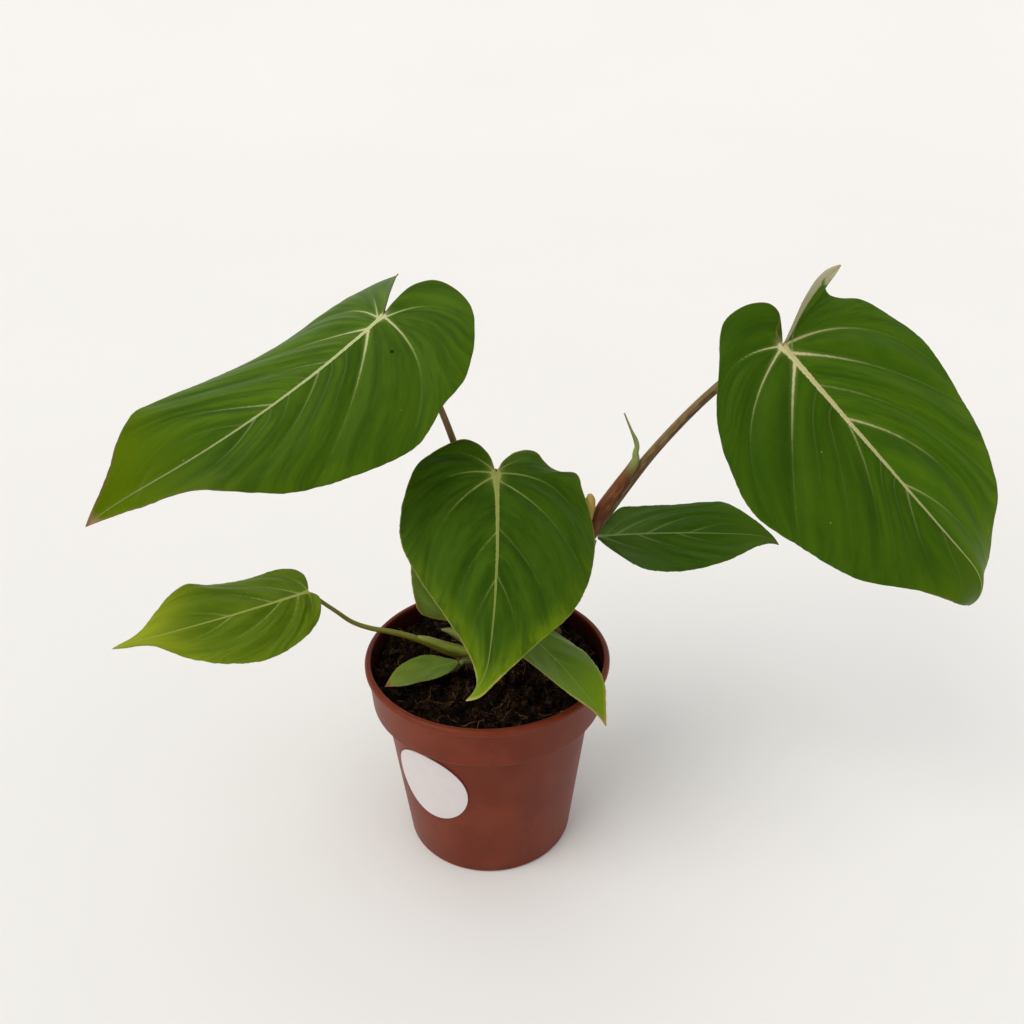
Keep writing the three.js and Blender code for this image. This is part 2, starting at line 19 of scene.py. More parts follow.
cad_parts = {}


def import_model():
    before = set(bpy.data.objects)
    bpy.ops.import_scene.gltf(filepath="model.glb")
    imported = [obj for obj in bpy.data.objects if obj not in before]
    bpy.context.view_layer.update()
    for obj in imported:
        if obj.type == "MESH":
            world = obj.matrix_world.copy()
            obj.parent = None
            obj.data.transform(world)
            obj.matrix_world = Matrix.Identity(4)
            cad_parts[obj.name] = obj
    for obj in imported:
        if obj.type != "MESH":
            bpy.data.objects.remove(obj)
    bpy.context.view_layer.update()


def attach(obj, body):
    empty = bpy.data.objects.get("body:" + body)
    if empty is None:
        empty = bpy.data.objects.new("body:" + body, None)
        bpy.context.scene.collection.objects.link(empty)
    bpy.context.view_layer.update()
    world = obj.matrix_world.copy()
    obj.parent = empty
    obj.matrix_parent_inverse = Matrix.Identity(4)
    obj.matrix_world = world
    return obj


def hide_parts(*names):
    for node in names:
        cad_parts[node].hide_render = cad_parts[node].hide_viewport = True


LOG = logging.getLogger("potted_plant")
BODY = "root"
# A millimetre in metres, and the air between two pieces in mm
MM = 0.001
GAP = 0.3
FULL_TURN = 2 * math.pi
# Settings of a Map Range node that rises smoothly, and of a Math node that multiplies
SOFT = {"interpolation_type": "SMOOTHSTEP"}
TIMES = {"operation": "MULTIPLY"}
Array = np.ndarray
Point = tuple[float, float, float]
Node = Callable[..., bpy.types.NodeSocket]


class Side(Enum):
    """The half of a blade, as its own right or left, looking from its joint to its tip."""

    RIGHT = 1
    LEFT = -1


def linear(colour: str) -> tuple[float, float, float, float]:
    """Turn an sRGB hex colour into a linear colour.

    Args:
        colour: six hex digits, such as "8a4f33".

    Returns:
        Red, green, blue and alpha as linear numbers.
    """
    channels = [int(colour[i : i + 2], 16) / 255 for i in (0, 2, 4)]
    curve = [c / 12.92 if c <= 0.04045 else ((c + 0.055) / 1.055) ** 2.4 for c in channels]
    return (*curve, 1.0)


def add(
    material: bpy.types.Material,
    kind: str,
    inputs: dict | tuple = (),
    output: int | str = 0,
    **settings: object,
) -> bpy.types.NodeSocket | None:
    """Add one node with its settings, values and links.

    Args:
        material: the material whose node tree takes the node.
        kind: the node's type, without the words ShaderNode.
        inputs: for each input, by name or in order, a value or the socket that feeds it.
        output: the output that is returned, by name or number.
        settings: the node's own properties.

    Returns:
        The chosen output socket, or None for a node that has none.
    """
    tree = material.node_tree
    node = tree.nodes.new("ShaderNode" + kind)
    for name, value in settings.items():
        setattr(node, name, value)
    for name, value in inputs.items() if isinstance(inputs, dict) else enumerate(inputs):
        if isinstance(value, bpy.types.NodeSocket):
            tree.links.new(value, node.inputs[name])
        else:
            node.inputs[name].default_value = value
    return node.outputs[output] if len(node.outputs) else None


def smooth(low: float | Array, high: float | Array, value: Array) -> Array:
    """Rise smoothly from 0 at low to 1 at high, which may be below it: 3s^2 - 2s^3 of the share s."""
    share = np.clip((value - low) / (high - low), 0, 1)
    return share * share * (3 - 2 * share)


def unit(vectors: Array) -> Array:
    """Vectors of length 1 in the same directions: each over its length."""
    return vectors / np.linalg.norm(vectors, axis=-1, keepdims=True)


def walked(points: Array) -> Array:
    """The length walked to each point: the sum of the steps before it."""
    return np.concatenate([[0], np.cumsum(np.linalg.norm(np.diff(points, axis=0), axis=1))])


def arc(start: Array, middle: Array, end: Array, t: Array) -> Array:
    """A parabola at shares t of its way: (1-t)^2 of start, 2t(1-t) of middle and t^2 of end."""
    return (1 - t) ** 2 * start + 2 * t * (1 - t) * middle + t**2 * end


def circle(sides: int) -> Array:
    """Angles of even steps round a full turn, ending on the first one again."""
    return np.append(np.linspace(0, FULL_TURN, sides, endpoint=False), 0.0)


def turned(radius: Array | float, angle: Array | float, height: Array | float) -> Array:
    """Points round an upright axis: radius times cosine, radius times sine, and height, with 3 last."""
    return np.stack(np.broadcast_arrays(radius * np.cos(angle), radius * np.sin(angle), height), axis=-1)


def sample(places: Array, known: Array, values: Array) -> Array:
    """Read a table's rows, known at rising places, in a straight line from row to row."""
    return np.stack([np.interp(places, known, column) for column in values.T], axis=-1)


def lattice_noise(x: Array, y: Array, cell: float, seed: int) -> Array:
    """Smooth noise from -1 to 1: random heights at the corners of square cells, blended smoothly.

    Args:
        x: places across.
        y: places along.
        cell: width of a cell.
        seed: number that picks the heights.

    Returns:
        The noise at each place.
    """
    size = 64
    heights = np.random.default_rng(seed).uniform(-1, 1, (size, size))
    column, row = np.floor(x / cell).astype(int), np.floor(y / cell).astype(int)
    u, v = smooth(0, 1, x / cell - column), smooth(0, 1, y / cell - row)
    rows = [(row + step) % size for step in (0, 1)]
    near, far = (heights[r, column % size] * (1 - u) + heights[r, (column + 1) % size] * u for r in rows)
    return near * (1 - v) + far * v


def spline(points: Array, steps: int) -> Array:
    """Carry a centripetal Catmull-Rom curve through points, from the first to the last.

    Args:
        points: the points, one a row, in as many dimensions as they have.
        steps: steps in each span.

    Returns:
        The curve's points.
    """
    padded = np.vstack([2 * points[0] - points[1], points, 2 * points[-1] - points[-2]])
    p0, p1, p2, p3 = (padded[i : len(padded) - 3 + i, None, :] for i in range(4))
    gaps = [np.linalg.norm(b - a, axis=-1, keepdims=True) for a, b in ((p0, p1), (p1, p2), (p2, p3))]
    d0, d1, d2 = (np.maximum(np.sqrt(gap), 1e-4) for gap in gaps)
    start = ((p1 - p0) / d0 - (p2 - p0) / (d0 + d1) + (p2 - p1) / d1) * d1
    end = ((p2 - p1) / d1 - (p3 - p1) / (d1 + d2) + (p3 - p2) / d2) * d1
    t = np.linspace(0, 1, steps, endpoint=False)[None, :, None]
    curve = p1 + start * t + (3 * (p2 - p1) - 2 * start - end) * t**2
    curve = curve + (2 * (p1 - p2) + start + end) * t**3
    return np.vstack([curve.reshape(-1, points.shape[1]), points[-1:]])


@dataclass
class Shell:
    """A surface gathered from grids of points, with values at each point, then made one closed mesh."""

    points: list[Array] = field(default_factory=list)
    corners: list[Array] = field(default_factory=list)
    values: dict[str, list[Array]] = field(default_factory=dict)
    count: int = 0

    def add_grid(self, points: Array, values: dict[str, Array] | None = None, flip: bool = False) -> None:
        """Add a grid of points with a four-cornered face in each cell.

        Args:
            points: rows by columns by 3, in mm.
            values: an attribute's numbers at each point, rows by columns.
            flip: whether the faces turn the other way.
        """
        rows, columns = points.shape[:2]
        number = self.count + np.arange(rows * columns).reshape(rows, columns)
        cell = [number[:-1, :-1], number[1:, :-1], number[1:, 1:], number[:-1, 1:]]
        cell = cell[::-1] if flip else cell
        self.points.append(points.reshape(-1, 3))
        self.corners.append(np.stack([corner.ravel() for corner in cell], axis=1))
        for name, numbers in (values or {}).items():
            self.values.setdefault(name, []).append(np.broadcast_to(numbers, (rows, columns)).ravel())
        self.count += rows * columns

    def make(self, name: str, material: bpy.types.Material, crease: float = 60.0) -> bpy.types.Object:
        """Join points that meet, drop faces without area and make the object at the origin.

        Args:
            name: the object's name.
            material: its material.
            crease: angle in degrees past which an edge stays sharp.

        Returns:
            The object.
        """
        points = np.vstack(self.points)
        _, first, joined = np.unique(np.round(points, 4), axis=0, return_index=True, return_inverse=True)
        corners = joined.reshape(-1)[np.vstack(self.corners)]
        same = corners == np.roll(corners, -1, axis=1)
        folded = (corners[:, 0] == corners[:, 2]) | (corners[:, 1] == corners[:, 3])
        whole = corners[(same.sum(1) == 0) & ~folded]
        narrow = same.sum(1) == 1
        triangles = corners[narrow][~same[narrow]].reshape(-1, 3)
        mesh = bpy.data.meshes.new(name)
        mesh.from_pydata((points[first] * MM).tolist(), [], whole.tolist() + triangles.tolist())
        mesh.polygons.foreach_set("use_smooth", np.ones(len(mesh.polygons), bool))
        mesh.set_sharp_from_angle(angle=math.radians(crease))
        for attribute, numbers in self.values.items():
            data = mesh.attributes.new(attribute, "FLOAT", "POINT").data
            data.foreach_set("value", np.concatenate(numbers)[first].astype(np.float32))
        mesh.materials.append(material)
        mesh.validate()
        made = bpy.data.objects.new(name, mesh)
        bpy.context.scene.collection.objects.link(made)
        return made


def settle(piece: bpy.types.Object, node: str | None = None) -> None:
    """Put a finished piece on the body and in the place of a node.

    Args:
        piece: the finished object.
        node: the node that it stands for, or None for an added piece.
    """
    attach(piece, BODY)
    if node:
        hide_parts(node)
    faces = len(piece.data.polygons)
    LOG.info("%s: %d faces%s", piece.name, faces, f", stands for {node}" if node else "")


@dataclass(frozen=True)
class Finish:
    """A finish, which makes one material; each kind says how its colour, roughness and bump come about."""

    name: str

    def surface(self, node: Node) -> dict[str, object]:
        """The shader's inputs by name, from nodes that node adds."""
        raise NotImplementedError

    def material(self) -> bpy.types.Material:
        """Make the material: one shader, fed by the nodes of its kind.

        Returns:
            The material.
        """
        made = bpy.data.materials.new(self.name)
        made.use_nodes = True
        made.node_tree.nodes.clear()
        node = partial(add, made)
        shader = node("BsdfPrincipled", self.surface(node))
        node("OutputMaterial", {"Surface": shader})
        return made


@dataclass(frozen=True)
class LeafFinish(Finish):
    """Living leaf skin, velvety from fine hairs, with pale veins.

    The hairs keep the shine low and tint it green. The skin is a little mottled and yellows towards the tip
    and the margin. Its soft secondary ribs catch the light and also carry a painted highlight on their
    crests; one half of some blades carries painted shade, and some bases a painted sheen.
    """

    length: float
    deep: str
    light: str
    tip: str
    vein: str = "a9b86a"
    rib: str = "cfc98e"
    margin: str = "9a6a48"
    under: str = "6d8446"
    strip: str = "b3ad8a"
    # The colour of the painted shade on one half of a blade
    painted_shade_colour: str = "1e3a00"
    dry: str = "7a5a2a"
    dry_from: float = 2.0
    tip_from: float = 0.6
    edge_share: float = 0.3
    # How much a painted sheen pales the base of the blade
    painted_sheen_at_base: float = 0.0
    rib_width: float = 1.7
    margin_width: float = 0.35
    star: float = 2.4
    spurs: float = 0.0
    # How much a painted highlight lightens the crests of the secondary ribs
    crest: float = 0.2
    roughness: float = 0.5
    shine: float = 0.3
    # How much painted shade darkens the right half and the left half
    shade: tuple[float, float] = (0.0, 0.0)
    speck: tuple[float, float] | None = None

    def surface(self, node: Node) -> dict[str, object]:
        """Work out a mask for each layer of the skin, then lay the layers one over another.

        Args:
            node: adds a node to the material.

        Returns:
            The shader's inputs by name.
        """
        names = (
            "half", "across", "reach", "along", "edge", "rib", "vein_near", "vein_show", "under", "strip",
            "band", "star", "count", "spacing", "spur",
        )
        read = {name: node("Attribute", output="Fac", attribute_name=name) for name in names}
        along, show = read["along"], read["vein_show"]
        place = node("TexCoord", output="Object")
        # Mottling from patchy growth, in streaks of about 8 mm by 25 mm that follow the side veins
        ribs = node("Math", (read["count"], 1.3), **TIMES)
        outward = node("Math", (read["reach"], 2.2), **TIMES)
        flow = node("CombineXYZ", (ribs, outward, read["half"]))
        mottle = node("TexNoise", {"Vector": flow, "Scale": 1.0, "Detail": 4.0, "Roughness": 0.6})
        tone = node("MapRange", (mottle, 0.3, 0.7), **SOFT)
        # Painted highlight: the crests of the secondary ribs are painted lighter
        crest = node("MapRange", (read["band"], -0.4, 1.0, 0.0, self.crest), **SOFT)
        tone = node("Math", (tone, 0.6, crest), operation="MULTIPLY_ADD", use_clamp=True)
        # The tip and the outer 11 mm are younger and more yellow
        tip = node("MapRange", (along, self.tip_from, 1.04), **SOFT)
        outer = node("MapRange", (read["edge"], 11.0, 0.0, 0.0, self.edge_share), **SOFT)
        patchy = node("MapRange", (mottle, 0.35, 0.6, 0.3, 1.0), **SOFT)
        forward = node("MapRange", (along, 0.25, 0.75, 0.2, 1.0), **SOFT)
        for share in (patchy, forward):
            outer = node("Math", (outer, share), **TIMES)
        # Fine veins run out between the side veins, drawn about 1.5 mm apart
        narrow = node("VectorMath", (flow, (5.0, 1.0, 7.0)), **TIMES)
        streak = node("TexNoise", {"Vector": narrow, "Scale": 1.0})
        fine = node("MapRange", (streak, 0.45, 0.75, 0.0, 0.12), **SOFT)
        # Painted shade darkens one half of some blades, and a painted sheen makes some bases paler
        painted_shade_mask = node("MapRange", (read["half"], 0.0, 1.0, *self.shade))
        foot = node("MapRange", (along, 0.45, -0.05, 0.0, self.painted_sheen_at_base), **SOFT)
        # A faint pale halo follows each side vein
        halo = node("MapRange", (read["vein_near"], 4.5, 0.5, 0.0, 0.16), **SOFT)
        halo = node("Math", (halo, show), **TIMES)
        # Each secondary rib is a faint line that starts brighter at the midrib
        off_spur = node("Math", (read["count"], 0.5), operation="PINGPONG")
        off_spur = node("Math", (off_spur, read["spacing"]), **TIMES)
        spur = node("MapRange", (off_spur, 0.5, 0.12), **SOFT)
        spur = node("Math", (spur, read["spur"]), **TIMES)
        # A few pale specks of 0.5 mm, mineral dots
        dots = node("TexVoronoi", {"Vector": place, "Scale": 170.0}, output="Distance")
        dots = node("MapRange", (dots, 0.09, 0.05, 0.0, 0.35))
        few = node("TexNoise", {"Vector": place, "Scale": 120.0, "Detail": 0.0})
        few = node("MapRange", (few, 0.66, 0.7))
        dots = node("Math", (dots, few), **TIMES)
        # The side veins and the midrib, a cream band that thins towards the tip, feathered by hairs
        feather = node("TexNoise", {"Vector": place, "Scale": 1400.0, "Detail": 1.0})
        feather = node("MapRange", (feather, 0.3, 0.7, -0.18, 0.18))
        off_vein = node("Math", (read["vein_near"], feather), operation="ADD")
        off_rib = node("Math", (read["rib"], feather), operation="ADD")
        line = node("MapRange", (off_vein, 1.5, 0.5), **SOFT)
        line = node("Math", (line, show), **TIMES)
        cream = node("MixRGB", (show, linear(self.vein), linear(self.rib)))
        band = node("MapRange", (off_rib, 1.2, 0.7), **SOFT)
        fade = node("MapRange", (along, 0.1, 0.95, 1.0, 0.4))
        band = node("Math", (band, fade), **TIMES)
        # The lower face is paler and greyer, and some tips are dry
        below = node("Math", (read["under"], 0.85), **TIMES)
        dry = node("MapRange", (along, self.dry_from, self.dry_from + 0.03))
        # A thin broken line of another colour runs round the margin, wider at the tip
        swell = node("Math", (tip, 2.0, 1.0), operation="MULTIPLY_ADD")
        edge = node("Math", (read["edge"], swell), operation="DIVIDE")
        rim = node("MapRange", (edge, self.margin_width, 0.08, 0.0, 0.65))
        broken = node("TexNoise", {"Vector": place, "Scale": 160.0, "Detail": 1.0})
        broken = node("MapRange", (broken, 0.35, 0.55, 0.55, 1.0))
        rim = node("Math", (rim, broken), **TIMES)
        layers = [
            (tip, self.tip), (outer, self.tip), (fine, self.light), (painted_shade_mask, self.painted_shade_colour), (foot, self.vein),
            (halo, self.vein), (spur, self.rib), (dots, self.vein), (line, cream), (read["star"], self.rib),
            (band, self.rib), (below, self.under), (dry, self.dry), (read["strip"], self.strip),
            (rim, self.margin),
        ]
        if self.speck:
            # One dark dry speck, 1.6 mm wide
            lengthwise = node("Math", (along, self.length), **TIMES)
            spread = node("CombineXYZ", (read["across"], lengthwise))
            off = node("VectorMath", (spread, (*self.speck, 0.0)), output="Value", operation="DISTANCE")
            spot = node("MapRange", (off, 1.0, 0.6))
            layers.append((spot, "0d0f06"))
        colour = node("MixRGB", (tone, linear(self.deep), linear(self.light)))
        for mask, tint in layers:
            colour = node("MixRGB", (mask, colour, linear(tint) if isinstance(tint, str) else tint))
        # Bump: the fine veins, then the hairs' nap of about 0.4 mm
        nap = node("TexNoise", {"Vector": place, "Scale": 2400.0, "Detail": 1.0})
        bump = node("Bump", {"Height": streak, "Strength": 0.3, "Distance": 0.0005})
        return {
            "Base Color": colour,
            "Roughness": node("MapRange", (mottle, 0.0, 1.0, self.roughness, self.roughness + 0.1)),
            "IOR": 1.42,
            "Specular IOR Level": self.shine,
            "Specular Tint": linear("b9cf8a"),
            "Sheen Weight": 0.05,
            "Sheen Roughness": 0.4,
            "Sheen Tint": linear("a8c070"),
            "Normal": node("Bump", {"Height": nap, "Strength": 0.1, "Distance": 0.0003, "Normal": bump}),
        }


@dataclass(frozen=True)
class StemFinish(Finish):
    """Living stem skin, smooth and waxy, with fine lengthwise streaks, small pale dots, and painted light
    above and painted shade below.
    """

    main: str
    streak: str
    foot: str
    top: str
    # The upper colour is painted light on the side that faces up, the lower colour painted shade below
    upper: str
    lower: str
    roughness: float = 0.5
    top_range: tuple[float, float] = (0.8, 1.0)

    def surface(self, node: Node) -> dict[str, object]:
        """Streak the skin, then tint its foot and its top, and paint light on its upper side and shade on
        its lower side.

        Args:
            node: adds a node to the material.

        Returns:
            The shader's inputs by name.
        """
        place = node("TexCoord", output="Object")
        names = ("turn_x", "turn_y", "run", "share", "up")
        read = {name: node("Attribute", output="Fac", attribute_name=name) for name in names}
        # Streaks about 1 mm wide and 7 mm long follow the stem
        length = node("Math", (read["run"], 0.07), **TIMES)
        flow = node("CombineXYZ", (read["turn_x"], read["turn_y"], length))
        streak = node("TexNoise", {"Vector": flow, "Scale": 2.2, "Detail": 4.0, "Roughness": 0.6})
        streaked = node("MapRange", (streak, 0.4, 0.66), **SOFT)
        low = node("MapRange", (read["share"], 0.3, 0.0, 0.0, 0.85), **SOFT)
        high = node("MapRange", (read["share"], *self.top_range, 0.0, 0.9), **SOFT)
        # Painted light and shade: the side that faces up is painted lighter and greener, the side that faces
        # down darker and browner
        painted_light_mask = node("MapRange", (read["up"], 0.1, 0.85, 0.0, 0.65), **SOFT)
        painted_shade_mask = node("MapRange", (read["up"], 0.15, -0.7, 0.0, 0.7), **SOFT)
        dots = node("TexVoronoi", {"Vector": place, "Scale": 520.0}, output="Distance")
        dots = node("MapRange", (dots, 0.2, 0.1, 0.0, 0.35))
        colour = linear(self.main)
        layers = (
            (streaked, self.streak), (low, self.foot), (high, self.top), (painted_light_mask, self.upper),
            (painted_shade_mask, self.lower), (dots, self.streak),
        )
        for mask, tint in layers:
            colour = node("MixRGB", (mask, colour, linear(tint)))
        return {
            "Base Color": colour,
            "Roughness": node("MapRange", (streak, 0.0, 1.0, self.roughness - 0.06, self.roughness + 0.08)),
            "IOR": 1.45,
            "Specular IOR Level": 0.25,
            "Normal": node("Bump", {"Height": streak, "Strength": 0.5, "Distance": 0.0006}),
        }


@dataclass(frozen=True)
class PlasticFinish(Finish):
    """Terracotta-coloured polypropylene, thermoformed: satin, a little uneven, with a faint mould grain."""

    name: str = "terracotta_polypropylene_moulded"
    main: str = "68260f"
    faded: str = "76321a"
    dusty: str = "48200f"
    # The colour of the wall inside above the mix: a peat stain with painted shade
    inside: str = "240c05"

    def surface(self, node: Node) -> dict[str, object]:
        """Cloud the plastic, dust it, and darken the wall inside above the mix with a peat stain and painted
        shade.

        Args:
            node: adds a node to the material.

        Returns:
            The shader's inputs by name.
        """
        place = node("TexCoord", output="Object")
        cloud = node("TexNoise", {"Vector": place, "Scale": 38.0, "Detail": 4.0, "Roughness": 0.6})
        faded = node("MapRange", (cloud, 0.35, 0.7), **SOFT)
        # Peat dust gathers in small specks
        dust = node("TexNoise", {"Vector": place, "Scale": 420.0})
        dust = node("MapRange", (dust, 0.68, 0.76, 0.0, 0.5))
        # Above the mix the wall inside is darkened, partly a stain of wet peat and partly painted shade; the
        # band leans out with the collar
        flat = node("VectorMath", (place, (1.0, 1.0, 0.0)), **TIMES)
        radius = node("VectorMath", (flat,), output="Value", operation="LENGTH")
        height = node("SeparateXYZ", (place,), output="Z")
        upright = node("Math", (height, -0.068, radius), operation="MULTIPLY_ADD")
        stain_and_shade_inside = node("MapRange", (upright, 0.0513, 0.0508, 0.0, 0.9))
        for none, full in ((0.085, 0.088), (0.1045, 0.1025)):
            within = node("MapRange", (height, none, full))
            stain_and_shade_inside = node("Math", (stain_and_shade_inside, within), **TIMES)
        colour = linear(self.main)
        for mask, tint in ((faded, self.faded), (dust, self.dusty), (stain_and_shade_inside, self.inside)):
            colour = node("MixRGB", (mask, colour, linear(tint)))
        # Draw lines of the forming run down the wall, about 2 mm apart
        drawn = node("Mapping", {"Vector": place, "Scale": (500.0, 500.0, 14.0)})
        lines = node("TexNoise", {"Vector": drawn, "Scale": 1.0, "Detail": 1.0})
        grain = node("TexNoise", {"Vector": place, "Scale": 1500.0, "Detail": 1.0})
        bump = node("Bump", {"Height": lines, "Strength": 0.12, "Distance": 0.0003})
        return {
            "Base Color": colour,
            "Roughness": node("MapRange", (cloud, 0.0, 1.0, 0.36, 0.5)),
            "IOR": 1.49,
            "Specular IOR Level": 0.16,
            "Normal": node("Bump", {"Height": grain, "Strength": 0.15, "Distance": 0.0002, "Normal": bump}),
        }


@dataclass(frozen=True)
class PaperFinish(Finish):
    """White coated paper, calendered: almost flat, with faint fibre clouds."""

    name: str = "white_label_paper_coated"
    main: str = "dad2d2"
    cloud: str = "cec6c6"

    def surface(self, node: Node) -> dict[str, object]:
        """Cloud the paper and raise its fibres a little.

        Args:
            node: adds a node to the material.

        Returns:
            The shader's inputs by name.
        """
        place = node("TexCoord", output="Object")
        cloud = node("TexNoise", {"Vector": place, "Scale": 160.0, "Detail": 4.0, "Roughness": 0.7})
        fibre = node("TexNoise", {"Vector": place, "Scale": 1300.0, "Detail": 3.0})
        return {
            "Base Color": node("MixRGB", (cloud, linear(self.main), linear(self.cloud))),
            "Roughness": node("MapRange", (fibre, 0.0, 1.0, 0.5, 0.62)),
            "IOR": 1.5,
            "Normal": node("Bump", {"Height": fibre, "Strength": 0.1, "Distance": 0.0001}),
        }


@dataclass(frozen=True)
class EarthFinish(Finish):
    """Peat and coir, damp and unpressed: almost black, dull, crumbly at about 2 mm."""

    dark: str
    light: str
    grain: float
    roughness: float = 0.9

    def surface(self, node: Node) -> dict[str, object]:
        """Lighten the crumbs' crests, where the bump stands highest, as a painted highlight, more in some
        patches than in others.

        Args:
            node: adds a node to the material.

        Returns:
            The shader's inputs by name.
        """
        place = node("TexCoord", output="Object")
        crumb = node("TexNoise", {"Vector": place, "Scale": self.grain, "Detail": 5.0, "Roughness": 0.7})
        # Painted highlight: where the crumb's bump is highest the colour turns light
        crest = node("MapRange", (crumb, 0.42, 0.72), **SOFT)
        patch = node("TexNoise", {"Vector": place, "Scale": 110.0})
        light = node("MapRange", (patch, 0.35, 0.65, 0.1, 1.0), **SOFT)
        mask = node("Math", (crest, light), use_clamp=True, **TIMES)
        return {
            "Base Color": node("MixRGB", (mask, linear(self.dark), linear(self.light))),
            "Roughness": node("MapRange", (patch, 0.0, 1.0, self.roughness - 0.12, self.roughness)),
            "IOR": 1.4,
            "Specular IOR Level": 0.12,
            "Normal": node("Bump", {"Height": crumb, "Strength": 0.8, "Distance": 0.0012}),
        }


@dataclass(frozen=True)
class BackdropFinish(Finish):
    """Matt backdrop paper, rolled: plain, with a cloudiness that hardly shows."""

    name: str = "studio_paper_matt"
    main: str = "f6f5f3"
    cloud: str = "f2f1ef"

    def surface(self, node: Node) -> dict[str, object]:
        """Cloud the paper faintly, in patches of about half a metre.

        Args:
            node: adds a node to the material.

        Returns:
            The shader's inputs by name.
        """
        cloud = node("TexNoise", {"Vector": node("TexCoord", output="Object"), "Scale": 2.0})
        colour = node("MixRGB", (cloud, linear(self.main), linear(self.cloud)))
        return {"Base Color": colour, "Roughness": 0.9}


@dataclass(frozen=True)
class Bend:
    """How a blade lies and bends, in degrees.

    The turn, the droop and the twist grow evenly from the joint to the tip. The hook and the tip's
    droop come on towards the tip. The sides fall from the midrib by the fold and curl further down,
    or rise where the curl is below zero.
    """

    heading: float
    pitch: float
    turn: float = 0.0
    hook: float = 0.0
    droop: float = 0.0
    tip_droop: float = 0.0
    roll: float = 0.0
    twist: float = 0.0
    fold: float = 3.0
    curl: float = 15.0


@dataclass(frozen=True)
class Vein:
    """A side vein: it leaves the midrib at foot mm and reaches the margin at a row.

    Its bow is twice how far its middle stands off the straight line, as a share of that line.
    """

    foot: float
    row: float
    bow: float
    show: float = 1.0
    width: float = 0.55


@dataclass(frozen=True)
class Strip:
    """A rolled margin on the left half of a blade, from one row to another, widest between them."""

    low: float
    high: float
    width: float = 3.6
    rise: float = 0.9


